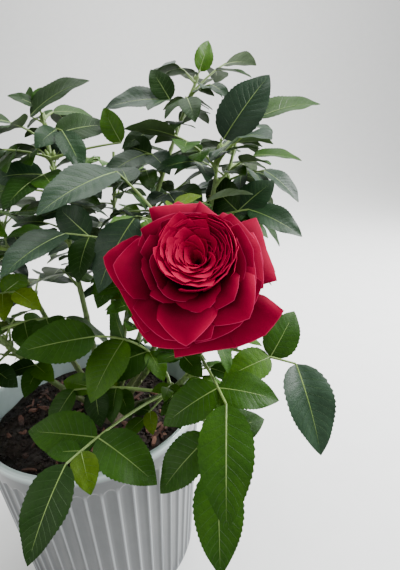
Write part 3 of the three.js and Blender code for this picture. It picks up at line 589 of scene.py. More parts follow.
PRICKLE_SIZES = (0.6, 1)
PRICKLE_GIRTHS = (0.42, 0.26, 0.12)
PRICKLE_TIP = 0.02
CANE_SEED = 5


def aim(turn, rise):
    """A direction from its heading and its rise above level, in degrees."""
    t, r = math.radians(turn), math.radians(rise)
    return np.array([math.cos(t) * math.cos(r), math.sin(t) * math.cos(r), math.sin(r)])


def mix(low, high, share):
    return low + (high - low) * share


def cane_line(cane):
    at = np.array([*cane["foot"], CANE_FOOT], float)
    line = [at]
    for i in range(CANE_STEPS):
        f = (i + 0.5) / CANE_STEPS
        turn = mix(*cane["turn"], f)
        lean = mix(*cane["lean"], f ** cane.get("bend", 1))
        at = at + aim(turn, 90 - lean) * cane["length"] / CANE_STEPS
        line.append(at)
    return line


def along(line, up):
    x = min(max(up, 0), 1) * (len(line) - 1)
    i = min(int(x), len(line) - 2)
    return line[i] + (line[i + 1] - line[i]) * (x - i)


def smooth_line(line, low, high, count):
    """Points of the line between two shares of it, on a smooth curve through its own points."""
    points = np.array(line)
    at = np.linspace(low, high, count) * (len(points) - 1)
    i = np.clip(at.astype(int), 0, len(points) - 2)
    t = (at - i)[:, None]
    before, after = points[np.maximum(i - 1, 0)], points[np.minimum(i + 2, len(points) - 1)]
    a, b = points[i], points[i + 1]
    squared = 2 * before - 5 * a + 4 * b - after
    cubed = 3 * a - before - 3 * b + after
    return 0.5 * (2 * a + (b - before) * t + squared * t**2 + cubed * t**3)


def unit(v):
    return v / np.linalg.norm(v, axis=-1, keepdims=True)


def tube(line, radii, sides, mark=0):
    """A closed round limb: a ring of points round each point of the line."""
    line = np.asarray(line)
    ways = unit(np.gradient(line, axis=0))
    normal = np.cross(ways[0], (0.3, 0.5, 0.8))
    normals = []
    for way in ways:
        normal = unit(normal - way * normal.dot(way))
        normals.append(normal)
    normals = np.array(normals)
    binormals = np.cross(ways, normals)
    angles = np.linspace(0, 2 * math.pi, sides, endpoint=False)
    radii = np.broadcast_to(np.asarray(radii, float).reshape(len(line), -1), (len(line), sides))
    rings = line[:, None] + radii[..., None] * (
        np.cos(angles)[None, :, None] * normals[:, None] + np.sin(angles)[None, :, None] * binormals[:, None]
    )
    return closed_skin(rings.reshape(-1, 3), len(line), sides, mark)


def girth(cane, up):
    return mix(*cane["girth"], up)


def limb_skin(cane, line, low, high, count, sides, relief):
    """A stretch of a cane with its taper, node rings and bark relief."""
    ups = np.linspace(low, high, count)
    lengths = ups * cane["length"]
    nodes = np.exp(-(((lengths / NODE_EVERY) % 1 - 0.5) / NODE_WIDTH) ** 2)
    radii = girth(cane, ups) - relief + NODE_SWELL * nodes
    points = smooth_line(line, low, high, count)
    angles = np.linspace(0, 2 * math.pi, sides, endpoint=False)
    rough = np.array(
        [
            [noise.fractal(Vector((3 * math.cos(a), 3 * math.sin(a), s * 0.25)), 1.0, 2.0, 3) for a in angles]
            for s in lengths
        ]
    )
    return tube(points, radii[:, None] + relief * rough, sides)


def prickle(root, out, up, size):
    """A small hooked prickle: a flat cone whose tip bends down."""
    line = [root - out * 0.3, root + out * 0.35 * size, root + out * 0.75 * size - up * 0.1 * size]
    line.append(root + out * size - up * 0.4 * size)
    return tube(line, [*(across * size / 2 for across in PRICKLE_GIRTHS), PRICKLE_TIP], PRICKLE_SIDES)


def prickles(cane, line, draw):
    parts = []
    low, high = PRICKLE_REACH
    count = int(cane["length"] * (high - low) / PRICKLE_EVERY)
    for i in range(count):
        up = mix(low, high, (i + draw(0.2, 0.8)) / count)
        way = unit(along(line, up + 0.02) - along(line, up - 0.02))
        out = unit(np.cross(way, aim(draw(0, 360), draw(-30, 30))))
        root = along(line, up) + out * girth(cane, up) * 0.9
        parts.append(prickle(root, out, way, PRICKLE_LENGTH * draw(*PRICKLE_SIZES)))
    return parts


# Stem skin: beige and cracked at the foot, green above a height that wavers a little
stem_skin, given, sent = group_of(
    "stem_skin",
    [
        ("Wood", COLOUR, (0.5, 0.4, 0.3, 1)),
        ("Green", COLOUR, (0.2, 0.4, 0.1, 1)),
        ("Low", NUMBER, 0.11),
        ("High", NUMBER, 0.16),
    ],
    [("Colour", COLOUR), ("Height", NUMBER)],
)
place = add_node(stem_skin, "ShaderNodeTexCoord").outputs["Object"]
split = add_node(stem_skin, "ShaderNodeSeparateXYZ", links={"Vector": place})
ends = {"Value": split.outputs["Z"], "From Min": given.outputs["Low"], "From Max": given.outputs["High"]}
age = add_node(stem_skin, "ShaderNodeMapRange", links=ends)
streak = add_node(stem_skin, "ShaderNodeMapping", {"Scale": (1, 1, 0.18)}, {"Vector": place})
cracks = noise_node(stem_skin, streak.outputs["Vector"], 1500, 4)
waver = ramp(stem_skin, noise_node(stem_skin, place, 130, 2), 0.3, 0.7, min=-0.3, max=0.3)
total = math_node(stem_skin, "ADD", age.outputs["Result"], waver, use_clamp=True)
blend = mixed(stem_skin, total, given.outputs["Wood"], given.outputs["Green"])
shade = ramp(stem_skin, cracks, 0.35, 0.65, min=0.6, max=1.1)
stem_skin.links.new(darkened(stem_skin, blend, shade), sent.inputs["Colour"])
stem_skin.links.new(cracks, sent.inputs["Height"])


def stem_material(name, wood, green, heights, roughness, relief):
    """Wood under the lower of two heights in millimetres, green over the higher one."""
    material, tree, shader = new_material(name, roughness)
    skin = add_node(tree, "ShaderNodeGroup", {"node_tree": stem_skin})
    skin.inputs["Wood"].default_value = (*wood, 1)
    skin.inputs["Green"].default_value = (*green, 1)
    skin.inputs["Low"].default_value, skin.inputs["High"].default_value = (h * MM for h in heights)
    tree.links.new(skin.outputs["Colour"], shader.inputs["Base Color"])
    bump(tree, shader, skin.outputs["Height"], relief)
    return material


WOOD = (0.13, 0.115, 0.06)
CANE_GREEN = (0.1, 0.17, 0.03)
PRICKLE_RED = (0.25, 0.13, 0.07)
CANE_WOOD_ENDS = (104, 135)
cane_bark = stem_material("cane_bark", WOOD, CANE_GREEN, CANE_WOOD_ENDS, 0.62, 0.25)
prickle_skin = mottled_material("prickle_skin", 0.5, PRICKLE_RED, CANE_GREEN, (300, 1500), 0.2)
cane_draw = Draw(CANE_SEED)
lines = {name: cane_line(cane) for name, cane in CANES.items()}
for name, cane in CANES.items():
    skin = limb_skin(cane, lines[name], 0, cane["leafy"], CANE_RINGS, CANE_SIDES, CANE_RELIEF)
    join_up("bark_" + name, [skin], [cane_bark], ["cane_" + name])
thorns = [part for name, cane in CANES.items() for part in prickles(cane, lines[name], cane_draw)]
join_up("prickles", thorns, [prickle_skin], [])


# Leafy stems
# The upper part of each cane, and the stalks of its compound leaves: a stalk with an end blade and one
# or two pairs of side blades, two narrow stipules at its foot and a small bud above it.
STALK_STEPS = 6
STALK_GIRTH = (0.85, 0.5)
STALK_SAG = 12
PAIR_PLACES = (0.74, 0.44)
BLADE_WIDTH = 0.56
BLADE_CURL = 26
BLADE_FOLD = 14
DOT_STEP = 3.4
LEAF_APART = 4
STALK_APART = 3
STALK_CLEAR = 0.1
TIP_DOT = 0.98
DRAW_SEED = 77
DRAWN = dict(
    rise=(-5, 40), two_pairs=0.5, stalk=(0.7, 1.05), stretch=(0.9, 1.15), sag=(10, 34),
    swing=(-10, 10), hang=(10, 40), roll=(-30, 30),
    share=(0.86, 0.72), side_turn=(52, 76), follow=0.4, side_hang=(5, 32), side_size=(0.92, 1.06),
    side_roll=(-35, 35),
)
GOLDEN_TURN = 137.5
CANE_TURN = 50
TRY_TURN = 40
TURN_SPREAD = (-12, 12)
TRIES = 9
FILL_UP = 0.05
SIZE_AT_FOOT = 1.08
SIZE_LOSS = 0.3
SIZE_SPREAD = (0.9, 1.1)


def leaf_at(cane, up, turn, rise, stalk, greens, *blades, **more):
    """A leaf with a place of its own: its cane, how far up it, heading, rise and length of its stalk,
    its greens, and heading, rise, length and roll of each blade, the end blade first, then the pairs."""
    leaf = dict(cane=cane, up=up, turn=turn, rise=rise, stalk=stalk, greens=greens.split(), blades=blades)
    return {**leaf, **more}


# The leaves that the photograph shows one by one
SHOWN_LEAVES = [
    leaf_at("bloom", 0.73, -74, -2, 40, "mid",
            (265, -43, 47), (195, -27, 30, -25), (-11, -7, 28, 30), width=0.5),
    leaf_at("bloom", 0.61, -76, -20, 51, "mid mid mid",
            (268, -46, 41), (207, -37, 34, -10), (19, 2, 29, 30), width=0.54),
    leaf_at("bloom", 0.41, 233, 4, 68, "deep mid mid mid olive",
            (249, -38, 38), (178, 8, 33, -40), (-27, -25, 35, 15), (186, 4, 15, -30), (-66, -35, 19),
            sag=20, pairs=(0.74, 0.88)),
    leaf_at("bloom", 0.78, -20, -3, 47, "grey mid bright",
            (-77, -46, 41), (43, 42, 27, 40), (202, -10, 26, -35)),
    leaf_at("bloom", 0.43, 200, 50, 60, "mid mid bright mid bright",
            (200, 0, 37, -45), (113, 45, 22, -70), (235, -40, 34, -10), (201, -11, 37, -35),
            (-53, -40, 18), sag=80, pairs=(0.76, 0.5)),
    leaf_at("front", 0.97, 190, 20, 12, "grey", (216, -52, 42, -20)),
    leaf_at("front", 0.985, 140, 36, 36, "grey blue", (225, -17, 48, -20), (108, 14, 26)),
    leaf_at("front", 0.86, 175, 12, 47, "grey blue deep",
            (235, -15, 40, -10), (146, 32, 27, -50), (252, -48, 25)),
    leaf_at("right", 0.76, -15, 14, 24, "blue blue deep",
            (-31, -21, 34, 25), (20, 33, 28, 45), (120, 25, 34, -60)),
    leaf_at("right", 1, 0, 50, 4, "grey", (17, 50, 43, 55)),
    leaf_at("right", 0.98, 43, 26, 38, "mid blue blue", (6, 12, 40, 25), (100, 10, 24), (-50, -12, 20)),
    leaf_at("top", 1, 49, 70, 3, "bright", (49, 60, 20, 60)),
    leaf_at("top", 0.92, 182, 10, 14, "grey deep blue",
            (182, -5, 36, -35), (150, 55, 22, -50), (240, -12, 24)),
    leaf_at("top", 0.84, 150, 5, 15, "deep", (200, -25, 25, -40)),
    leaf_at("top", 0.76, 200, 10, 14, "blue deep grey",
            (218, -20, 30, -25), (140, 12, 26, -60), (300, -22, 24, 20)),
    leaf_at("middle", 0.86, 5, 10, 40, "bright", (142, 57, 23, -60)),
    leaf_at("middle", 0.93, 30, 10, 5, "deep", (33, 8, 34, 45)),
    leaf_at("middle", 0.97, 180, 30, 8, "deep", (2, 29, 39, 35)),
    leaf_at("middle", 1, 140, 40, 9, "mid deep mid",
            (118, 32, 16, -60), (200, 24, 15, -40), (60, 50, 13, 50)),
    leaf_at("middle", 0.82, 250, -5, 12, "deep blue mid",
            (242, -25, 30, -15), (186, 0, 28, -45), (300, -12, 26, 20)),
    leaf_at("left", 0.5, 240, 0, 26, "mid deep bright",
            (222, -30, 30, -15), (165, 18, 29, -50), (300, -42, 28)),
    leaf_at("left", 0.66, 10, 8, 24, "lime bright olive",
            (330, -22, 20, 20), (70, 10, 20, 50), (290, -30, 18)),
]


class Blade:
    """Where a blade starts, its directions along, off its face and across, and its length."""

    def __init__(self, root, turn, rise, length, roll=0):
        self.root, self.length = root, length
        self.ahead = aim(turn, rise)
        up = unit(np.array([0, 0, 1.0]) - self.ahead * self.ahead[2])
        side = np.cross(self.ahead, up)
        c, s = math.cos(math.radians(roll)), math.sin(math.radians(roll))
        self.side = side * c - up * s
        self.up = up * c + side * s

    def place(self, f, half, off):
        """Points at fractions f of the length, half off the middle line and lifted off the face."""
        curl = math.radians(BLADE_CURL)
        a = curl * (f - 0.5)
        bend = self.length / curl
        x = bend * (np.sin(a) + math.sin(curl / 2)) + off * np.sin(a)
        z = bend * (np.cos(a) - math.cos(curl / 2)) + off * np.cos(a)
        return self.root + x[..., None] * self.ahead + z[..., None] * self.up + half[..., None] * self.side

    def dots(self):
        rows = max(3, math.floor(self.length / DOT_STEP + 0.5))
        found = []
        for i in range(1, rows + 1):
            f = min(TIP_DOT, i / rows)
            half = self.length * BLADE_WIDTH * blade_half(f) / 2
            columns = math.floor(half / DOT_STEP + 0.5)
            across = np.arange(-columns, columns + 1) / max(1, columns)
            fold = math.radians(BLADE_FOLD)
            off = np.abs(half * across) * math.sin(fold)
            found.append(self.place(np.full_like(across, f), half * across * math.cos(fold), off))
        return np.concatenate(found)


def blade_half(f):
    """Half the width of a blade at a fraction of its length, 1 at its widest."""
    inside = np.clip(f, 0, 1)
    return 2.81 * inside**0.6 * (1 - inside) ** 0.95


def line_dots(line, low, high):
    length = np.linalg.norm(np.diff(np.array(line), axis=0), axis=1).sum()
    count = max(1, math.floor(length * (high - low) / DOT_STEP + 0.5))
    return np.array([along(line, low + (high - low) * i / count) for i in range(count + 1)])


class Space:
    """Keeps limbs and leaves apart: dots, each with its owner."""

    def __init__(self):
        self.dots, self.owners = np.zeros((0, 3)), np.zeros(0, dtype=object)

    def take(self, dots, owner):
        self.dots = np.concatenate([self.dots, dots])
        self.owners = np.concatenate([self.owners, np.full(len(dots), owner, dtype=object)])

    def touches(self, dots, apart, own=None):
        low, high = dots.min(0) - apart, dots.max(0) + apart
        near = ((self.dots >= low) & (self.dots <= high)).all(1)
        if own is not None:
            near &= self.owners != own
        others = self.dots[near]
        if not len(others):
            return False
        return bool((np.linalg.norm(dots[:, None] - others[None], axis=2) < apart).any())


def stalk_line(root, leaf):
    at = root
    line = [at]
    for i in range(STALK_STEPS):
        f = (i + 0.5) / STALK_STEPS
        rise = leaf["rise"] + leaf.get("sag", STALK_SAG) * (0.5 - f)
        at = at + aim(leaf["turn"], rise) * leaf["stalk"] / STALK_STEPS
        line.append(at)
    return line


def drawn_leaf(draw, up, turn, length):
    """A leaf that no list gives: its stalk and blades are drawn round a heading."""
    rise = draw(*DRAWN["rise"])
    pairs = 2 if draw(0, 1) < DRAWN["two_pairs"] else 1
    stalk = length * DRAWN["stalk"][pairs - 1] * draw(*DRAWN["stretch"])
    sag = draw(*DRAWN["sag"])
    end = rise - sag / 2
    blades = [(turn + draw(*DRAWN["swing"]), end - draw(*DRAWN["hang"]), length, draw(*DRAWN["roll"]))]
    for share in DRAWN["share"][:pairs]:
        for side in (1, -1):
            heading = turn + side * draw(*DRAWN["side_turn"])
            fall = DRAWN["follow"] * end - draw(*DRAWN["side_hang"])
            size = length * share * draw(*DRAWN["side_size"])
            blades.append((heading, fall, size, draw(*DRAWN["side_roll"])))
    return dict(up=up, turn=turn, rise=rise, stalk=stalk, sag=sag, blades=blades)


def grow_leaf(line, leaf):
    stalk = stalk_line(along(line, leaf["up"]), leaf)
    places = (1, *[place for place in leaf.get("pairs", PAIR_PLACES) for _ in range(2)])
    blades = [Blade(along(stalk, place), *sizes) for place, sizes in zip(places, leaf["blades"])]
    return dict(stalk=stalk, blades=blades, greens=leaf.get("greens"), width=leaf.get("width"))


def try_leaf(space, name, line, leaf, stalk_apart, leaf_apart):
    """The leaf as it grows where there is space for it, short of one side blade at most, or None."""
    grown = grow_leaf(line, leaf)
    stalk = line_dots(grown["stalk"], STALK_CLEAR, 1)
    if space.touches(stalk, stalk_apart, name):
        return None
    free = [None if space.touches(blade.dots(), leaf_apart) else blade for blade in grown["blades"]]
    if free[0] is None or free.count(None) > 1:
        return None
    owner = name + str(len(space.dots))
    space.take(stalk, owner)
    for blade in free:
        if blade:
            space.take(blade.dots(), owner)
    grown["blades"] = free
    return grown


# The bloom's own places are needed here, because leaves keep clear of it
BLOOM_TURN = -90
BLOOM_RISE = 38
NECK_LENGTH = 15
NECK_STEPS = 6
PETAL_ROOT = 3
PETAL_TWIST = 2
PETAL_POINTED = 1.3
PETAL_BASE = 0.1
PETAL_SPREAD = 1.2
PETAL_CUP = 1.2
PETAL_LEAST_CUP = 14
PETAL_LIFT = 0.6
PETAL_STEPS = 12
PETAL_DOTS = 10
FACE_FROM = 20
FACE_TO = 70
FACE_RADIUS = 36
SEPAL_COUNT = 5
SEPAL_LENGTH = 24
SEPAL_TURN = 20
SEPAL_FALL = 0.25
PETAL_RINGS = [
    # opening angles, then each petal's angle, reach, width, fall of its corners and skew
    ((48, 102), (
        (166, 41, 28, 0.3, 0), (98, 38, 20, 0.35, 0), (18, 37, 31, 0.02, 0.02), (-43, 42, 26, 0.1, 0.07),
        (-82, 35, 27, 0, 0), (-120, 36, 30, 0.2, 0), (-158, 32, 33, 0.04, -0.07),
    )),
    ((44, 92), ((102, 34, 23, 0, 0.02), (62, 30.5, 24, 0, 0.06))),
    ((38, 82), (
        (174, 33, 30, 0.28, 0), (18, 31, 38, 0.16, 0), (-52, 31, 40, 0.18, 0), (-112, 31, 38, 0.2, 0.04),
    )),
]
WIDE_PETALS = [
    dict(open=opens, angle=angle, reach=reach, width=width, point=point, skew=skew)
    for opens, petals in PETAL_RINGS
    for angle, reach, width, point, skew in petals
]
facing = aim(BLOOM_TURN, BLOOM_RISE)
bloom_right = np.array([1.0, 0, 0])
bloom_up = np.cross(facing, bloom_right)


def bloom_point(hip, angle, radius, height, sideways=0.0):
    """Points round the bloom's axis: angle 0 right and 90 up, distance off the axis and height."""
    a = np.radians(angle)
    x = radius * np.cos(a) - sideways * np.sin(a)
    y = radius * np.sin(a) + sideways * np.cos(a)
    along_axis = hip + np.multiply.outer(height, facing)
    return along_axis + np.multiply.outer(x, bloom_right) + np.multiply.outer(y, bloom_up)


def petal_rise(petal, f):
    """Distance off the axis, height and opening angle of a petal's middle line at fractions f."""
    low, high = petal["open"]
    root = petal.get("root", PETAL_ROOT)
    walk = (np.arange(PETAL_STEPS) + 0.5) / PETAL_STEPS
    length = (petal["reach"] - root) * PETAL_STEPS / np.sin(np.radians(mix(low, high, walk))).sum()
    length = petal.get("length", length)
    opens = np.radians(mix(low, high, np.multiply.outer(f, walk)))
    radius = root + (np.sin(opens).sum(-1) * length * f) / PETAL_STEPS
    height = petal.get("foot", 0) + (np.cos(opens).sum(-1) * length * f) / PETAL_STEPS
    return radius, height, np.radians(mix(low, high, f))


def petal_point(hip, petal, f, across, off):
    """Points of a petal: f along it, across from -1 to 1, and lifted off it towards the axis."""
    fall = petal["point"] * np.abs(across) ** petal.get("pointed", PETAL_POINTED)
    reach = f * (1 - fall + petal.get("skew", 0) * across)
    radius, height, opened = petal_rise(petal, reach)
    half = petal["width"] / 2 * np.minimum(1, PETAL_BASE + PETAL_SPREAD * f)
    cup = np.maximum(radius * PETAL_CUP, petal.get("least_cup", PETAL_LEAST_CUP))
    swing = half * across / cup
    inset = cup * (1 - np.cos(swing))
    lift = off + petal.get("twist", PETAL_TWIST) * across * f
    return bloom_point(
        hip,
        petal["angle"],
        radius - (inset + lift) * np.cos(opened),
        height + (inset * PETAL_LIFT + lift) * np.sin(opened),
        cup * np.sin(swing),
    )


def neck_line(line):
    """The neck bends from the cane's tip over to the way that the bloom faces."""
    start = unit(line[-1] - line[-2])
    at = line[-1] + start * GAP
    found = [at]
    for i in range(NECK_STEPS):
        at = at + unit(mix(start, facing, (i + 0.5) / NECK_STEPS)) * NECK_LENGTH / NECK_STEPS
        found.append(at)
    return found


def sepal_blades(hip):
    found = []
    for i in range(SEPAL_COUNT):
        out = unit(bloom_point(np.zeros(3), 360 * i / SEPAL_COUNT + SEPAL_TURN, 1, -SEPAL_FALL))
        turn, rise = math.degrees(math.atan2(out[1], out[0])), math.degrees(math.asin(out[2]))
        found.append(Blade(hip, turn, rise, SEPAL_LENGTH))
    return found


neck = neck_line(lines["bloom"])
hip = neck[-1]
space = Space()
for name, line in lines.items():
    space.take(line_dots(line, 0, 1), name)
bloom_dots = [line_dots(neck, 0, 1), *[sepal.dots() for sepal in sepal_blades(hip)]]
for petal in WIDE_PETALS:
    f = np.arange(2, PETAL_DOTS + 1) / PETAL_DOTS
    across = np.arange(-PETAL_DOTS, PETAL_DOTS + 1, 2) / PETAL_DOTS
    grid = np.meshgrid(f, across, indexing="ij")
    bloom_dots.append(petal_point(hip, petal, *grid, 0.0).reshape(-1, 3))
for height in range(FACE_FROM, FACE_TO + 1, LEAF_APART):
    for radius in range(0, FACE_RADIUS + 1, LEAF_APART):
        count = max(1, math.floor(2 * math.pi * radius / LEAF_APART + 0.5))
        bloom_dots.append(np.array([bloom_point(hip, 360 * i / count, radius, height) for i in range(count)]))

# Growing order: limbs have their space, then come the listed leaves, the bloom and the drawn leaves
masses = {name: [] for name in CANES}
for i, leaf in enumerate(SHOWN_LEAVES):
    grown = grow_leaf(lines[leaf["cane"]], leaf)
    space.take(line_dots(grown["stalk"], STALK_CLEAR, 1), "leaf " + str(i))
    for blade in grown["blades"]:
        space.take(blade.dots(), "leaf " + str(i))
    masses[leaf["cane"]].append(grown)
space.take(np.concatenate(bloom_dots), "bloom")
leaf_draw = Draw(DRAW_SEED)
for index, (name, cane) in enumerate(CANES.items()):
    for i in range(cane["fill"]):
        up = mix(cane["leafy"] + FILL_UP, 1, (i + 0.5) / cane["fill"])
        size = cane["blade"] * (SIZE_AT_FOOT - SIZE_LOSS * up) * leaf_draw(*SIZE_SPREAD)
        for attempt in range(TRIES):
            turn = CANE_TURN * index + GOLDEN_TURN * i + TRY_TURN * attempt + leaf_draw(*TURN_SPREAD)
            leaf = drawn_leaf(leaf_draw, up, turn, size)
            grown = try_leaf(space, name, lines[name], leaf, STALK_APART, LEAF_APART)
            if grown:
                masses[name].append(grown)
                break

# Small leaves low on the stems, near the soil, hang inwards over the crown
LOW_APART = 1.5
LOW_STALK_APART = 1.6
LOW_LEAVES = [
    leaf_at("bloom", 0.39, 192, 14, 50, "mid deep bright mid olive",
            (228, -42, 24, -10), (285, -45, 21, 15), (165, 5, 20, -40), (265, -40, 19, 10),
            (140, 10, 18, -30), sag=24, pairs=(0.78, 0.56)),
    leaf_at("bloom", 0.4, 178, 4, 36, "deep mid bright",
            (240, -50, 20, -10), (300, -35, 18, 20), (150, -10, 18, -30)),
    leaf_at("bloom", 0.42, 215, -30, 20, "bright lime mid",
            (215, -25, 15, -20), (280, -35, 13, 15), (150, -10, 13, -30)),
    leaf_at("left", 0.36, -25, -8, 10, "mid deep bright",
            (262, -20, 20, -15), (200, -8, 18, -25), (-40, -12, 18, 20)),
    leaf_at("left", 0.39, -12, -8, 26, "olive deep mid",
            (285, -24, 22, 20), (215, -18, 20, -20), (0, -8, 19, 25)),
    leaf_at("left", 0.43, 250, -14, 20, "mid bright deep",
            (255, -30, 20, -10), (180, -10, 19, -40), (330, -20, 19, 30)),
    leaf_at("left_back", 0.38, -60, -8, 30, "deep mid bright",
            (280, -12, 24, 10), (200, -8, 21, -20), (-20, -8, 21, 25)),
    leaf_at("middle", 0.37, 255, -4, 16, "bright mid deep",
            (250, -10, 20, -10), (175, -6, 18, -30), (330, -6, 19, 25)),
]
for leaf in LOW_LEAVES:
    grown = try_leaf(space, leaf["cane"], lines[leaf["cane"]], leaf, LOW_STALK_APART, LOW_APART)
    if grown:
        masses[leaf["cane"]].append(grown)

# Small young leaves fill each mass between the large ones, within its reach
YOUNG_COUNT = 16
YOUNG_SIZE = (0.5, 0.82)
YOUNG_SMALL_SIZE = (0.4, 0.66)
YOUNG_SMALL_ON = ("bloom", "front", "top")
YOUNG_APART = 2.2
YOUNG_STALK_APART = 1.6
YOUNG_TRIES = 14
YOUNG_UP = 0.03
YOUNG_INSIDE = 1
young_draw = Draw(DRAW_SEED + 1)
for index, (name, cane) in enumerate(CANES.items()):
    low, high = np.array(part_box("foliage_" + name)) / MM
    for i in range(YOUNG_COUNT):
        up = mix(cane["leafy"] + YOUNG_UP, 1, (i + 0.5) / YOUNG_COUNT)
        size = cane["blade"] * young_draw(*(YOUNG_SMALL_SIZE if name in YOUNG_SMALL_ON else YOUNG_SIZE))
        for attempt in range(YOUNG_TRIES):
            turn = CANE_TURN * index + GOLDEN_TURN * i + TRY_TURN * attempt + young_draw(*TURN_SPREAD)
            leaf = drawn_leaf(young_draw, up, turn, size)
            blades = grow_leaf(lines[name], leaf)["blades"]
            tips = np.array([blade.root + blade.ahead * blade.length for blade in blades])
            if (tips < low + YOUNG_INSIDE).any() or (tips > high - YOUNG_INSIDE).any():
                continue
            grown = try_leaf(space, name, lines[name], leaf, YOUNG_STALK_APART, YOUNG_APART)
            if grown:
                masses[name].append(grown)
                break

# A drawn blade that would meet the stem of another mass stays shorter
STEM_APART = 3
STEM_POINTS = 90
SHORTER = 0.85
SHORTEST = 0.3
BLADE_GRID = (18, 7)
share, across = np.meshgrid(
    np.linspace(0, 1, BLADE_GRID[0]), np.linspace(-1, 1, BLADE_GRID[1]), indexing="ij"
)
for name in CANES:
    stems = [other for other in CANES if other != name]
    others = [smooth_line(lines[other], CANES[other]["leafy"], 1, STEM_POINTS) for other in stems]
    others = np.concatenate(others)
    drawn = [blade for grown in masses[name] if not grown["greens"] for blade in grown["blades"] if blade]
    for blade in drawn:
        full = blade.length
        while blade.length > SHORTEST * full:
            half = blade.length * BLADE_WIDTH * blade_half(share) / 2 * across
            points = blade.place(share, half, 0 * half).reshape(-1, 3)
            if np.linalg.norm(points[:, None] - others, axis=2).min() > STEM_APART:
                break
            blade.length *= SHORTER

# Skins of the leafy stems, their stalks, stipules and buds
STEM_RINGS = 60
STEM_SIDES = 14
STEM_RELIEF = 0.08
STALK_RINGS = 14
STALK_SIDES = 8
# A stalk swells where it leaves the stem; one of full size is this long from end to end
STALK_SWELL = (1.7, 1.35, 1.1)
STALK_FULL = 25
STIPULES_FROM = 0.5
BUD_LENGTH = 4.2
BUD_RADIUS = 1.3
BUD_SIDES = 8
# Places along the bud, and its girth there
BUD_PLACES = (-0.1, 0.15, 0.4, 0.7, 0.92, 1)
BUD_GIRTHS = (0.3, 0.85, 1, 0.6, 0.25, 0.03)
STIPULE_LENGTH = 7
STIPULE_WIDTH = 1.1
STIPULE_RINGS = 7
STEM_GREEN = (0.16, 0.25, 0.06)
STALK_GREEN = (0.22, 0.33, 0.08)
STEM_PALES = (130, 200)
stem_green = stem_material("stem_green", CANE_GREEN, STEM_GREEN, STEM_PALES, 0.5, 0.1)
stalk_green = mottled_material("stalk_green", 0.45, STALK_GREEN, STEM_GREEN, (120, 1500), 0.15, 0.05)


def bud(root, way, out, size):
    """A small pointed bud that lies against the stem."""
    line = [root + out * 0.2 * size + way * BUD_LENGTH * size * f for f in BUD_PLACES]
    return tube(line, np.array(BUD_GIRTHS) * BUD_RADIUS * size, BUD_SIDES, 1)


def stipules(stalk):
    """Two narrow wings grown together with the stalk's foot, free at their points."""
    line = smooth_line(stalk, 0, 1, 40)
    lengths = np.concatenate([[0], np.cumsum(np.linalg.norm(np.diff(line, axis=0), axis=1))])
    share = min(0.3, STIPULE_LENGTH / lengths[-1])
    spine = smooth_line(stalk, 0.01, share, STIPULE_RINGS)
    way = unit(spine[-1] - spine[0])
    side = unit(np.cross(way, (0, 0, 1)))
    up = np.cross(side, way)
    parts = []
    for sign in (1, -1):
        rows = []
        for k, at in enumerate(spine):
            f = k / (len(spine) - 1)
            width = STIPULE_WIDTH * (0.55 + 0.45 * math.sin(math.pi * min(1, f * 1.2))) * (1 - f**6)
            out = side * sign * (0.5 + width + 1.3 * f**4)
            inner = side * sign * (0.2 + 1.2 * f**4)
            rows += [at + inner + up * 0.12, at + out + up * 0.35]
            rows += [at + out + up * 0.25, at + inner - up * 0.12]
        parts.append(closed_skin(np.array(rows), len(spine), 4, 1))
    return parts


for name, cane in CANES.items():
    line = lines[name]
    start = cane["leafy"] + GAP / cane["length"]
    parts = [limb_skin(cane, line, start, 1, STEM_RINGS, STEM_SIDES, STEM_RELIEF)]
    for grown in masses[name]:
        stalk = grown["stalk"]
        size = min(1, math.dist(stalk[0], stalk[-1]) / STALK_FULL)
        girths = np.array([mix(*STALK_GIRTH, f) for f in np.linspace(0, 1, STALK_RINGS)])
        girths *= 0.55 + 0.45 * size
        girths[: len(STALK_SWELL)] *= STALK_SWELL
        parts.append(tube(smooth_line(stalk, 0, 1, STALK_RINGS), girths, STALK_SIDES, 1))
        if size > STIPULES_FROM:
            parts += stipules(stalk)
        way, out = unit(line[-1] - line[-6]), unit(stalk[1] - stalk[0])
        parts.append(bud(stalk[0] + out * 1.2 + way * 1.0, unit(way + out * 0.4), out, 0.5 + 0.4 * size))
    join_up("stems_" + name, parts, [stem_green, stalk_green], ["foliage_" + name])


# Leaves
# Each blade is one thin shell: toothed edge, folded along its midrib, its halves quilted between pale
# side veins. Old leaves are dark green, young ones lighter and yellower; the bluish and greyish greens,
# most of them at the back, are partly painted sheen: the grey-blue reflection of the sky on waxy leaves.
SIDE_WIDTH = 0.66
END_WIDTH = 0.6
LEAF_THICKNESS = 0.3
LEAF_COLUMNS = (-1, -0.84, -0.42, 0, 0.42, 0.84, 1)
LEAF_LEAST_HALF = 0.04
ROWS_A_VEIN = 4
VEIN_SWEEP = 0.8
TOOTH_DEPTH = 0.05
TOOTH_REACH = 0.45
# Side veins of a blade longer than so many millimetres
VEIN_COUNTS = ((27, 12), (20, 9), (0, 6))
FULL_BLADE = 36
QUILT = 0.0045
QUILT_ACROSS = (0, 0.6, 1, 0, 1, 0.6, 0)
EDGE_WAVE = 0.014
# Waves along the edge of each half, and how the fold eases off towards the edge
WAVE_COUNTS = (16, 15)
FOLD_AT_RIB = 1.3
FOLD_EASED = 0.5
FOLD_SPREAD = (5, 17)
DROOP = (0, 0.07)
VEIN_RADIUS = (0.085, 0.04)
VEIN_SIDES = 3
MIDRIB_RADIUS = (0.42, 0.1)
MIDRIB_SIDES = 6
MIDRIB_SUNK = 0.12
LEAF_SEED = 23
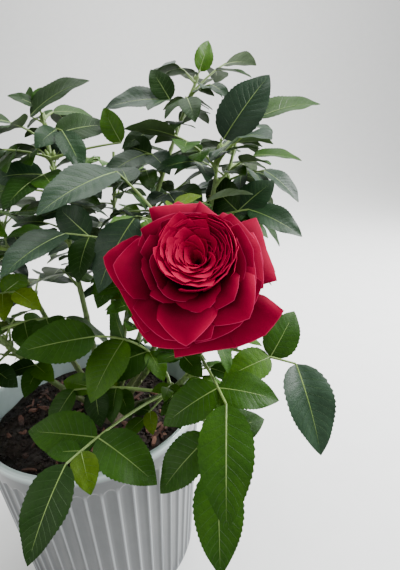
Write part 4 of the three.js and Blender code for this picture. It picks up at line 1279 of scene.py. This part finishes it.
# The blue and grey greens are partly painted sheen: the grey-blue reflection of the sky on waxy leaves, put
# into their colour
LEAF_GREENS = {
    "deep": ((0.008, 0.03, 0.002), (0.012, 0.04, 0.003)),
    "mid": ((0.016, 0.058, 0.0012), (0.025, 0.078, 0.0018)),
    "bright": ((0.034, 0.1, 0.0018), (0.05, 0.13, 0.003)),
    "lime": ((0.09, 0.17, 0.006), (0.12, 0.2, 0.01)),
    "blue": ((0.009, 0.032, 0.009), (0.014, 0.043, 0.013)),
    "grey": ((0.016, 0.04, 0.018), (0.024, 0.054, 0.026)),
    "olive": ((0.045, 0.1, 0.002), (0.07, 0.12, 0.003)),
}
WAXY_GREENS = ("blue", "grey")
WAXY = (0.44, 0.19)
SOFT = (0.5, 0.13)
LEAF_UNDERSIDE = ((0.04, 0.075, 0.022), (0.055, 0.095, 0.03))
MIDRIB_GREEN = (0.13, 0.22, 0.035)
VEIN_GREEN = (0.018, 0.058, 0.0045)
# The colours that each mass deals out to its leaves, in turn
LEAF_DEAL = {
    "bloom": ("mid", "deep", "mid", "bright", "mid", "bright"),
    "front": ("mid", "bright", "mid", "bright", "lime"),
    "right": ("mid", "blue", "grey", "deep", "mid", "blue"),
    "right_back": ("deep", "blue", "mid", "deep", "grey"),
    "top": ("blue", "deep", "blue", "grey", "mid", "deep"),
    "back": ("deep", "mid", "blue", "deep", "bright"),
    "middle": ("blue", "mid", "deep", "blue", "grey", "mid", "deep"),
    "left_back": ("deep", "mid", "blue", "mid", "bright"),
    "left": ("mid", "bright", "lime", "mid", "bright", "mid"),
}


def shell(top, bottom, mark_top, mark_bottom):
    """A closed thin shell of two grids of points that share the points of their rim."""
    rows, columns = top.shape[:2]
    over = np.arange(rows * columns).reshape(rows, columns)
    under = over.copy()
    under[1:-1, 1:-1] = rows * columns + np.arange((rows - 2) * (columns - 2)).reshape(rows - 2, columns - 2)
    groups = []
    for index, mark, order in ((over, mark_top, 1), (under, mark_bottom, -1)):
        faces = np.stack([index[:-1, :-1], index[:-1, 1:], index[1:, 1:], index[1:, :-1]], -1).reshape(-1, 4)
        groups.append((faces[:, ::order], np.broadcast_to(mark, (rows - 1, columns - 1)).ravel()))
    return np.concatenate([top.reshape(-1, 3), bottom[1:-1, 1:-1].reshape(-1, 3)]), groups


def leaf_parts(blade, width, draw, mark, under_mark):
    """The shell of a blade, and its midrib and side veins."""
    length = blade.length
    veins = next(count for least_length, count in VEIN_COUNTS if length > least_length)
    rows = veins * ROWS_A_VEIN
    i = np.arange(rows + 1)[:, None]
    s = i / rows
    u = np.array(LEAF_COLUMNS)[None, :]
    edge = np.abs(u) == 1
    tooth = (i % 2 == 1) & (i > 1) & (i < rows - 1)
    f = s + VEIN_SWEEP * np.abs(u) * s * (1 - s) + np.where(edge & tooth, TOOTH_REACH / rows, 0)
    f = np.clip(f, 0, 1)
    half = length * width / 2 * blade_half(f) * u
    half = np.where(edge & ~tooth, half * (1 - TOOTH_DEPTH), half)
    half = np.where(np.abs(half) < LEAF_LEAST_HALF * np.abs(u), LEAF_LEAST_HALF * u, half)
    fold = math.radians(draw(*FOLD_SPREAD))
    quilt = np.sin(math.pi * (i % ROWS_A_VEIN) / ROWS_A_VEIN) * np.array(QUILT_ACROSS)[None, :]
    one, other = (np.sin(count * s + draw(0, 6)) for count in WAVE_COUNTS)
    waves = np.where(u > 0, one, other)
    full = np.sin(math.pi * np.clip(f, 0, 1))
    folded = np.abs(half) * math.sin(fold) * (FOLD_AT_RIB - FOLD_EASED * np.abs(u))
    off = folded + length * QUILT * quilt * full
    off = off + length * (EDGE_WAVE * waves * u**2 * full - draw(*DROOP) * f**2)
    across = half * math.cos(fold)
    f = np.broadcast_to(f, off.shape)
    top = blade.place(f, across, off)
    bottom = blade.place(f, across, off - LEAF_THICKNESS)
    skin = shell(top, bottom, mark, under_mark)
    scale = length / FULL_BLADE
    middle = top[:, len(LEAF_COLUMNS) // 2]
    root = blade.root + blade.ahead * 0.02
    rib_line = np.concatenate([[root], middle[2:-2:2]]) - blade.up * MIDRIB_SUNK
    girths = np.linspace(*MIDRIB_RADIUS, len(rib_line)) * (0.35 + 0.65 * scale)
    ribs = [tube(rib_line, girths, MIDRIB_SIDES)]
    for row in range(ROWS_A_VEIN, rows - 2, ROWS_A_VEIN):
        for columns in ((3, 2, 1), (3, 4, 5)):
            line = top[row, columns]
            girths = np.linspace(*VEIN_RADIUS, len(line)) * (0.5 + 0.5 * scale)
            ribs.append(tube(line, girths, VEIN_SIDES, 1))
    return skin, ribs


def leaf_material(name, colour, other, roughness, shine):
    material, tree, shader = new_material(name, roughness, Specular_IOR_Level=shine)
    surface = mottled(tree, colour, other, 60, 700, 0.25)
    tree.links.new(surface.outputs["Colour"], shader.inputs["Base Color"])
    place = add_node(tree, "ShaderNodeTexCoord")
    net = add_node(tree, "ShaderNodeTexVoronoi", {"Scale": 1300}, {"Vector": place.outputs["Object"]})
    bump(tree, shader, net.outputs["Distance"], 0.12, 0.5)
    return material


finishes = []
for name, pair in LEAF_GREENS.items():
    finishes.append(leaf_material("leaf_" + name, *pair, *(WAXY if name in WAXY_GREENS else SOFT)))
finishes.append(leaf_material("leaf_underside", *LEAF_UNDERSIDE, 0.6, 0.2))
marks = {name: i for i, name in enumerate(LEAF_GREENS)}
midrib_skin = mottled_material("midrib_skin", 0.5, MIDRIB_GREEN, STALK_GREEN, (90, 1500), 0.15)
vein_skin = mottled_material("vein_skin", 0.5, VEIN_GREEN, LEAF_GREENS["mid"][1], (90, 1500), 0.15)
shape_draw = Draw(LEAF_SEED)
least, most = np.array(cad_bounds) / MM
for name in CANES:
    skins, ribs = [], []
    for i, grown in enumerate(masses[name]):
        dealt = grown["greens"] or (LEAF_DEAL[name][i % len(LEAF_DEAL[name])],)
        for k, blade in enumerate(grown["blades"]):
            if blade:
                mark = marks[dealt[min(k, len(dealt) - 1)]]
                width = SIDE_WIDTH if k else grown["width"] or END_WIDTH
                skin, veins = leaf_parts(blade, width, shape_draw, mark, len(LEAF_GREENS))
                skins.append((np.clip(skin[0], least, most), skin[1]))
                ribs += veins
    join_up("leaves_" + name, skins, finishes, ["foliage_" + name])
    join_up("veins_" + name, ribs, [midrib_skin, vein_skin], ["foliage_" + name])


# Bloom
# One open red bloom on its nodding neck: a green hip with five narrow sepals, thirteen wide petals whose
# points roll back, and a full heart of upright petals round a dark hollow, velvety, with pale rims. Every
# petal is darkened with painted shade towards the hip and brightened with a painted highlight towards its
# outer end, and the pale rims are painted highlight.
PETAL_SKIN = 0.5
PETAL_ROWS = 22
PETAL_COLUMNS = 16
PETAL_RIM = 0.012
PETAL_ROLL = 4
PETAL_TIP_ROLL = 3.5
PETAL_ROLLED_FROM = 0.62
PETAL_CORNER_ROLL = 1.2
PETAL_RIPPLE = 0.5
PETAL_CREASE = 0.2
PETAL_CREASES = 17
# Petals between the wide ones and the heart: angle, reach, height, width, how far the petal bends
# outwards on its way, how far its corners fall short and how far it leans to its left
MIDDLE_PETALS = [
    (-95, 33, 19, 30, 34, 0.42, -0.05), (-44, 32, 18, 34, 28, 0.34, 0.05), (6, 31.5, 14, 28, 26, 0.1, 0.04),
    (36, 31.5, 13.5, 26, 24, 0.14, 0.03), (70, 27, 15.5, 28, 18, 0.16, 0),
    (104, 27, 15.5, 34, 14, 0.12, 0.03),
    (140, 27, 14.5, 26, 20, 0.22, 0), (-166, 28, 12.5, 28, 30, 0.38, 0), (-130, 27, 12.5, 28, 32, 0.3, 0),
    (-60, 26, 16.5, 30, 34, 0.42, 0), (-22, 28, 17.5, 28, 24, 0.2, 0.05), (14, 27, 19, 26, 20, 0.1, 0.04),
    (48, 26, 18.5, 24, 14, 0.12, 0), (84, 24.5, 18, 30, 8, 0.12, 0), (124, 24, 16.5, 28, 14, 0.16, 0),
    (166, 22, 15.5, 26, 20, 0.26, 0), (-150, 20, 15, 28, 26, 0.32, 0), (-108, 20.5, 15, 26, 32, 0.4, 0),
    (-42, 22.5, 20, 26, 24, 0.26, 0.04), (-80, 19.5, 19, 28, 28, 0.36, 0.03),
    (0, 22.5, 20.5, 24, 18, 0.12, 0.04), (-128, 15.5, 18, 24, 24, 0.26, 0), (168, 17, 18, 24, 16, 0.2, 0),
]
HEART_RINGS = [
    # distance of the rim from the axis, its height, number of petals, angle of the first
    (15.8, 21.6, 5, 20), (14.4, 21.4, 5, 52), (13.1, 21.1, 5, 10), (11.8, 20.7, 4, 48), (10.5, 20.1, 4, -4),
    (9.2, 19.5, 4, 40), (8, 18.8, 3, 0), (6.8, 18, 3, 60), (5.8, 17.2, 3, 20), (5, 16, 2, 110),
    (4.3, 14.6, 2, 30),
]
# The heart is a funnel: its petals flare on the left below, and stand up on the right above
HEART_FLARE_TURN = 190
HEART_FLARE = (2, 54)
HEART_ROWS = 17
HEART_COLUMNS = 16
HEART_OVERLAP = 1.42
HEART_LEAN = (0.32, 0.42)
HEART_LEAN_TURN = (67, 48)
HEART_SPREAD = (-0.3, 0.3)
HEART_TURN_SPREAD = (-8, 8)
HEART_CORNER_FALL = (0.03, 0.1)
HEART_ROOT = 0.35
HEART_LEAST_CUP = 2
HEART_LOOSE_FROM = 8
HEART_FLARE_FADE = 1.2
# How strong the painted highlight on the lips is, and the part of a petal's length where it starts
WIDE_LIP_HIGHLIGHT, WIDE_LIP_FROM = 0.5, 0.6
MIDDLE_LIP_HIGHLIGHT, MIDDLE_LIP_FROM = (0.2, 0.9), 0.65
HEART_LIP_HIGHLIGHT, HEART_LIP_FROM = (0.15, 1.0), 0.2
PETAL_SEED = 41
# The reds of the face, the back and the heart's petals; the back red is darker, partly a duller reverse and
# partly painted shade; every petal is darkened towards the hip with painted shade
PETAL_REDS = {
    "face": ((0.165, 0.0001, 0.016), (0.11, 0.0001, 0.01)),
    "back": ((0.1, 0.0001, 0.008), (0.07, 0.0001, 0.006)),
    "heart": ((0.2, 0.0001, 0.019), (0.14, 0.0001, 0.013)),
}
# Painted highlight on the petals' lips
PETAL_LIP_HIGHLIGHT_RED = (0.4, 0.0001, 0.038)
# Painted shade: the dark red that each petal sinks to near the hip, between these distances from it in
# millimetres
PETAL_SHADE_RED = (0.02, 0.0001, 0.002)
PETAL_SHADE_REACH = (13, 38)
HEART_SHADE_REACH = (9, 22)
# Painted highlight: the pale rims, where the petals' thin edges catch the light
PETAL_RIM_HIGHLIGHT = (0.5, 0.02, 0.09)
HEART_RIM_HIGHLIGHT = (0.5, 0.004, 0.055)
HIP_PROFILE = ((1.5, -2), (2.6, -1), (3.5, 0.4), (4.2, 2.2), (4.4, 3.8), (4.2, 5.6), (3.6, 7))
NECK_RADIUS = 1.6
SEPAL_WIDTH = 0.2
# The places of the two rims in the list of reds
PETAL_RIM_MARK, HEART_RIM_MARK = 3, 4


def petal_skin(petal, draw, rows, columns, marks, rim_mark):
    f = np.concatenate([np.linspace(0, 1 - PETAL_RIM, rows) ** 0.85, [1]])[:, None]
    inner = np.sin(np.linspace(-1, 1, columns - 1) * math.pi / 2) * (1 - PETAL_RIM)
    across = np.concatenate([[-1], inner, [1]])[None, :]
    f, across = np.broadcast_arrays(f, across)
    thick = PETAL_SKIN / 2
    ripple = PETAL_RIPPLE * f**3 * np.sin(across * draw(3, 6) + draw(0, 6))
    ripple = ripple + PETAL_CREASE * f * np.sin(across * PETAL_CREASES + draw(0, 6))
    sides = np.abs(across) ** 5 * np.sin(math.pi * np.clip(f, 0, 1) ** 1.5)
    tip = np.clip((f - petal["rolled_from"]) / (1 - petal["rolled_from"]), 0, 1) ** 2
    corners = petal["corner_roll"] * np.abs(across) ** 4 * f**2
    back = petal["roll"] * sides + corners + petal["tip_roll"] * tip
    sheet = [petal_point(hip, petal, f, across, ripple - back + side * thick) for side in (1, -1)]
    if "lean" in petal:
        sheet = [side + np.multiply.outer(petal_rise(petal, f)[1], petal["lean"]) for side in sheet]
    coloured = []
    for mark in marks:
        side = np.full((rows, columns), mark)
        side[-1] = rim_mark
        side[rows // 3 :, 0] = rim_mark
        side[rows // 3 :, -1] = rim_mark
        coloured.append(side)
    # Painted highlight, growing towards the petal's outer end
    lip = petal["lip"] * np.clip((f - petal["lip_from"]) / (1 - petal["lip_from"]), 0, 1) ** 2
    return shell(*sheet, *coloured), np.concatenate([lip.ravel(), lip[1:-1, 1:-1].ravel()])


def middle_petals():
    found = []
    # More bent petals get more painted highlight on their lips
    bends = [petal[4] for petal in MIDDLE_PETALS]
    least, most = min(bends), max(bends)
    for angle, reach, height, width, bend, point, skew in MIDDLE_PETALS:
        rise = math.degrees(math.atan2(reach - PETAL_ROOT, height))
        found.append(
            dict(
                open=(rise - bend, rise + bend), point=point, skew=skew, angle=angle, reach=reach,
                width=width, least_cup=11, twist=1.8, roll=0.12 * bend, corner_roll=0.1 * bend,
                tip_roll=0.08 * bend, rolled_from=0.75, lip=mix(*MIDDLE_LIP_HIGHLIGHT, (bend - least) / (most - least)),
                lip_from=MIDDLE_LIP_FROM,
            )
        )
    return found


def heart_petals(draw):
    found = []
    for ring, (reach, height, count, first) in enumerate(HEART_RINGS):
        inwards = ring / (len(HEART_RINGS) - 1)
        lean = bloom_point(np.zeros(3), mix(*HEART_LEAN_TURN, inwards), 1.0, 0.0) * mix(*HEART_LEAN, inwards)
        root = min(PETAL_ROOT, reach * HEART_ROOT)
        rise = math.degrees(math.atan2(reach - root, height))
        for k in range(count):
            far = reach + draw(*HEART_SPREAD) * min(1, reach / 10)
            angle = first + 360 * k / count + draw(*HEART_TURN_SPREAD)
            flare = (0.5 + 0.5 * math.cos(math.radians(angle - HEART_FLARE_TURN))) ** HEART_FLARE_FADE
            rim_open = mix(*HEART_FLARE, flare)
            sweep = max(0.01, abs(math.radians(rim_open - rise)))
            length = math.hypot(far - root, height) * sweep / math.sin(sweep)
            # Flaring petals, which face the light, get the strongest painted highlight on their lips
            found.append(
                dict(
                    open=(2 * rise - rim_open, rim_open), point=draw(*HEART_CORNER_FALL), pointed=2,
                    angle=angle, reach=far, root=root, length=length,
                    width=2 * PETAL_CUP * math.pi * reach / count * HEART_OVERLAP,
                    least_cup=HEART_LEAST_CUP, twist=0.8 if reach > HEART_LOOSE_FROM else 0.5,
                    roll=0.5, corner_roll=0.4, tip_roll=0.6, rolled_from=0.88,
                    lean=lean, lip=mix(*HEART_LIP_HIGHLIGHT, flare), lip_from=HEART_LIP_FROM,
                )
            )
    return found


# Petal red: its own colour, sinking to a dark painted shade near the hip and lifted to a painted highlight at
# the lips
petal_red, given, sent = group_of(
    "petal_red",
    [
        ("Colour", COLOUR, (0.4, 0, 0.03, 1)),
        ("Deep", COLOUR, (0.04, 0, 0.01, 1)),
        ("Lip Colour", COLOUR, (0.5, 0, 0.04, 1)),
        ("Near", NUMBER, 0.01),
        ("Far", NUMBER, 0.03),
        ("Lip", NUMBER, 0),
    ],
    [("Colour", COLOUR)],
)
place = add_node(petal_red, "ShaderNodeTexCoord").outputs["Object"]
gone = add_node(petal_red, "ShaderNodeVectorMath", {"operation": "DISTANCE", 1: hip * MM}, {0: place})
share = add_node(
    petal_red,
    "ShaderNodeMapRange",
    {"interpolation_type": "SMOOTHSTEP"},
    {"Value": gone.outputs["Value"], "From Min": given.outputs["Near"], "From Max": given.outputs["Far"]},
)
blend = mixed(petal_red, share.outputs["Result"], given.outputs["Deep"], given.outputs["Colour"])
bright = mixed(petal_red, given.outputs["Lip"], blend, given.outputs["Lip Colour"])
petal_red.links.new(bright, sent.inputs["Colour"])


def petal_material(name, colour, other, near, far, lip_colour):
    material, tree, shader = new_material(name, 0.7, Sheen_Weight=0.05, Sheen_Roughness=0.4)
    shader.inputs["Sheen Tint"].default_value = (*HEART_RIM_HIGHLIGHT, 1)
    shader.inputs["Specular IOR Level"].default_value = 0.03
    surface = mottled(tree, colour, other, 130, 1800, 0.2)
    # Painted shade near the hip and painted highlight at the lips, over the mottled red
    deep = add_node(tree, "ShaderNodeGroup", {"node_tree": petal_red}, {"Colour": surface.outputs["Colour"]})
    deep.inputs["Deep"].default_value = (*PETAL_SHADE_RED, 1)
    deep.inputs["Lip Colour"].default_value = (*lip_colour, 1)
    lip = add_node(tree, "ShaderNodeAttribute", {"attribute_name": "lip"})
    tree.links.new(lip.outputs["Fac"], deep.inputs["Lip"])
    deep.inputs["Near"].default_value = near * MM
    deep.inputs["Far"].default_value = far * MM
    tree.links.new(deep.outputs["Colour"], shader.inputs["Base Color"])
    bump(tree, shader, surface.outputs["Height"], 0.06)
    return material


reds = [
    petal_material("petal_" + name, *pair, *(HEART_SHADE_REACH if name == "heart" else PETAL_SHADE_REACH), PETAL_LIP_HIGHLIGHT_RED)
    for name, pair in PETAL_REDS.items()
]
# The rims are painted highlight where the thin edges catch the light
reds.append(petal_material("petal_rim_highlight", PETAL_RIM_HIGHLIGHT, PETAL_REDS["face"][0], *PETAL_SHADE_REACH, PETAL_RIM_HIGHLIGHT))
reds.append(petal_material("heart_rim_highlight", HEART_RIM_HIGHLIGHT, PETAL_REDS["heart"][0], *HEART_SHADE_REACH, HEART_RIM_HIGHLIGHT))
petal_draw = Draw(PETAL_SEED)
skins = []
for petal in WIDE_PETALS:
    petal.update(roll=PETAL_ROLL, corner_roll=PETAL_CORNER_ROLL)
    petal.update(tip_roll=PETAL_TIP_ROLL, rolled_from=PETAL_ROLLED_FROM)
    petal.update(lip=WIDE_LIP_HIGHLIGHT, lip_from=WIDE_LIP_FROM)
    skins.append(petal_skin(petal, petal_draw, PETAL_ROWS, PETAL_COLUMNS, (0, 1), PETAL_RIM_MARK))
for petal in middle_petals():
    skins.append(petal_skin(petal, petal_draw, PETAL_ROWS, PETAL_COLUMNS, (0, 1), PETAL_RIM_MARK))
for petal in heart_petals(petal_draw):
    skins.append(petal_skin(petal, petal_draw, HEART_ROWS, HEART_COLUMNS, (1, 2), HEART_RIM_MARK))
petals = join_up("petals", [skin for skin, _ in skins], reds, ["rose_bloom"])
# Each point's share of painted highlight
lips = petals.data.attributes.new("lip", "FLOAT", "POINT")
lips.data.foreach_set("value", np.concatenate([lip for _, lip in skins]))

# Hip, neck and sepals
HIP_SIDES = 20
NECK_RINGS = 12
SEPAL_ROWS = 15
SEPAL_COLUMNS = 7
SEPAL_HALF_THICKNESS = 0.3
hip_skin = mottled_material("hip_skin", 0.45, STEM_GREEN, STALK_GREEN, (150, 1200), 0.2, 0.08)
radii, heights = np.array(HIP_PROFILE).T
parts = [tube([hip + facing * h for h in heights], radii, HIP_SIDES)]
girths = np.linspace(CANES["bloom"]["girth"][1], NECK_RADIUS, NECK_RINGS)
parts.append(tube(smooth_line(neck, 0, 1, NECK_RINGS), girths, STEM_SIDES))
for sepal in sepal_blades(hip):
    rows = np.linspace(0, 1, SEPAL_ROWS)[:, None]
    u = np.linspace(-1, 1, SEPAL_COLUMNS)[None, :]
    half = SEPAL_LENGTH * SEPAL_WIDTH / 2 * (1.2 * (1 - rows) ** 0.8 * (0.5 + rows) + 0.01) * u
    f = np.broadcast_to(rows, half.shape)
    off = np.abs(half) * 0.3 + 0 * f
    faces = [sepal.place(f, half, off + side * SEPAL_HALF_THICKNESS) for side in (1, -1)]
    parts.append(shell(*faces, 0, 0))
join_up("hip_and_sepals", parts, [hip_skin], ["rose_bloom"])


# Floor, light and camera
# A pale plain floor, the strongest soft light from the upper right and a low one on the same side,
# fainter ones round it, one for the ground far behind, and the camera where the photograph was taken.
FLOOR_REACH = 4
FLOOR_BACK = 1
FLOOR_BEND = 1.2
FLOOR_STEPS = 24
FLOOR_PALE = (0.8, 0.8, 0.78)
SKY = (0.9, 0.94, 1.0)
SKY_STRENGTH = 0.32
LIGHTS = [
    # place and aim in metres, width, strength in watts, colour
    ((0.7, 0.12, 0.75), (0, 0, 0.16), 0.35, 18, (0.97, 0.98, 1.0)),
    ((0.1, 0.9, 0.8), (0, 0, 0.16), 0.9, 5, (0.92, 0.96, 1.0)),
    ((-0.7, -0.35, 0.6), (0, 0, 0.16), 0.6, 4, (1.0, 0.98, 0.94)),
    ((0.1, -0.9, 0.6), (0, 0, 0.16), 0.8, 1.5, (1.0, 1.0, 1.0)),
    ((0, 0.6, 1.5), (0, 1.7, 0.1), 1.2, 45, (1.0, 1.0, 1.0)),
    ((0.95, 0.28, 0.3), (0, 0, 0.08), 0.6, 12, (0.97, 0.98, 1.0)),
]
EYE = (0.0684, -0.207, 0.273)
EYE_PITCH = 21.8
EYE_ROLL = -2.3
FRAME_LONG_SIDE = 570
FOCAL_LENGTH_PX = 401
SENSOR = 36
bend = [(math.sin(a), 1 - math.cos(a)) for a in np.linspace(0, math.pi / 2, FLOOR_STEPS)]
profile = [(-FLOOR_REACH, 0), *[(FLOOR_BACK + FLOOR_BEND * y, FLOOR_BEND * z) for y, z in bend]]
profile.append((FLOOR_BACK + FLOOR_BEND, FLOOR_REACH))
floor_mesh = bpy.data.meshes.new("floor")
corners = [(x, y, z) for y, z in profile for x in (-FLOOR_REACH, FLOOR_REACH)]
quads = [(2 * i, 2 * i + 1, 2 * i + 3, 2 * i + 2) for i in range(len(profile) - 1)]
floor_mesh.from_pydata(corners, [], quads)
floor_mesh.shade_smooth()
floor = bpy.data.objects.new("floor", floor_mesh)
bpy.context.scene.collection.objects.link(floor)
floor_mesh.materials.append(mottled_material("floor_plain", 0.8, FLOOR_PALE, FLOOR_PALE, (3, 40), 0.03))

world = bpy.data.worlds.new("soft_sky")
bpy.context.scene.world = world
world.use_nodes = True
sky = world.node_tree.nodes["Background"]
sky.inputs["Color"].default_value = (*SKY, 1)
sky.inputs["Strength"].default_value = SKY_STRENGTH
for i, (place, target, width, strength, colour) in enumerate(LIGHTS):
    lamp = bpy.data.lights.new("soft_light_" + str(i), "AREA")
    lamp.size = width
    lamp.energy = strength
    lamp.color = colour
    holder = bpy.data.objects.new("soft_light_" + str(i), lamp)
    holder.location = place
    holder.rotation_euler = (Vector(target) - Vector(place)).to_track_quat("-Z", "Y").to_euler()
    bpy.context.scene.collection.objects.link(holder)

pitch, roll = math.radians(EYE_PITCH), math.radians(EYE_ROLL)
ahead = Vector((0, math.cos(pitch), -math.sin(pitch)))
level = Vector((1, 0, 0))
upright = level.cross(ahead)
across = level * math.cos(roll) + upright * math.sin(roll)
over = upright * math.cos(roll) - level * math.sin(roll)
lens = bpy.data.cameras.new("camera")
lens.lens = FOCAL_LENGTH_PX * SENSOR / FRAME_LONG_SIDE
lens.sensor_width = SENSOR
camera = bpy.data.objects.new("camera", lens)
camera.matrix_world = Matrix.Translation(EYE) @ Matrix((across, over, -ahead)).transposed().to_4x4()
bpy.context.scene.collection.objects.link(camera)
bpy.context.scene.camera = camera
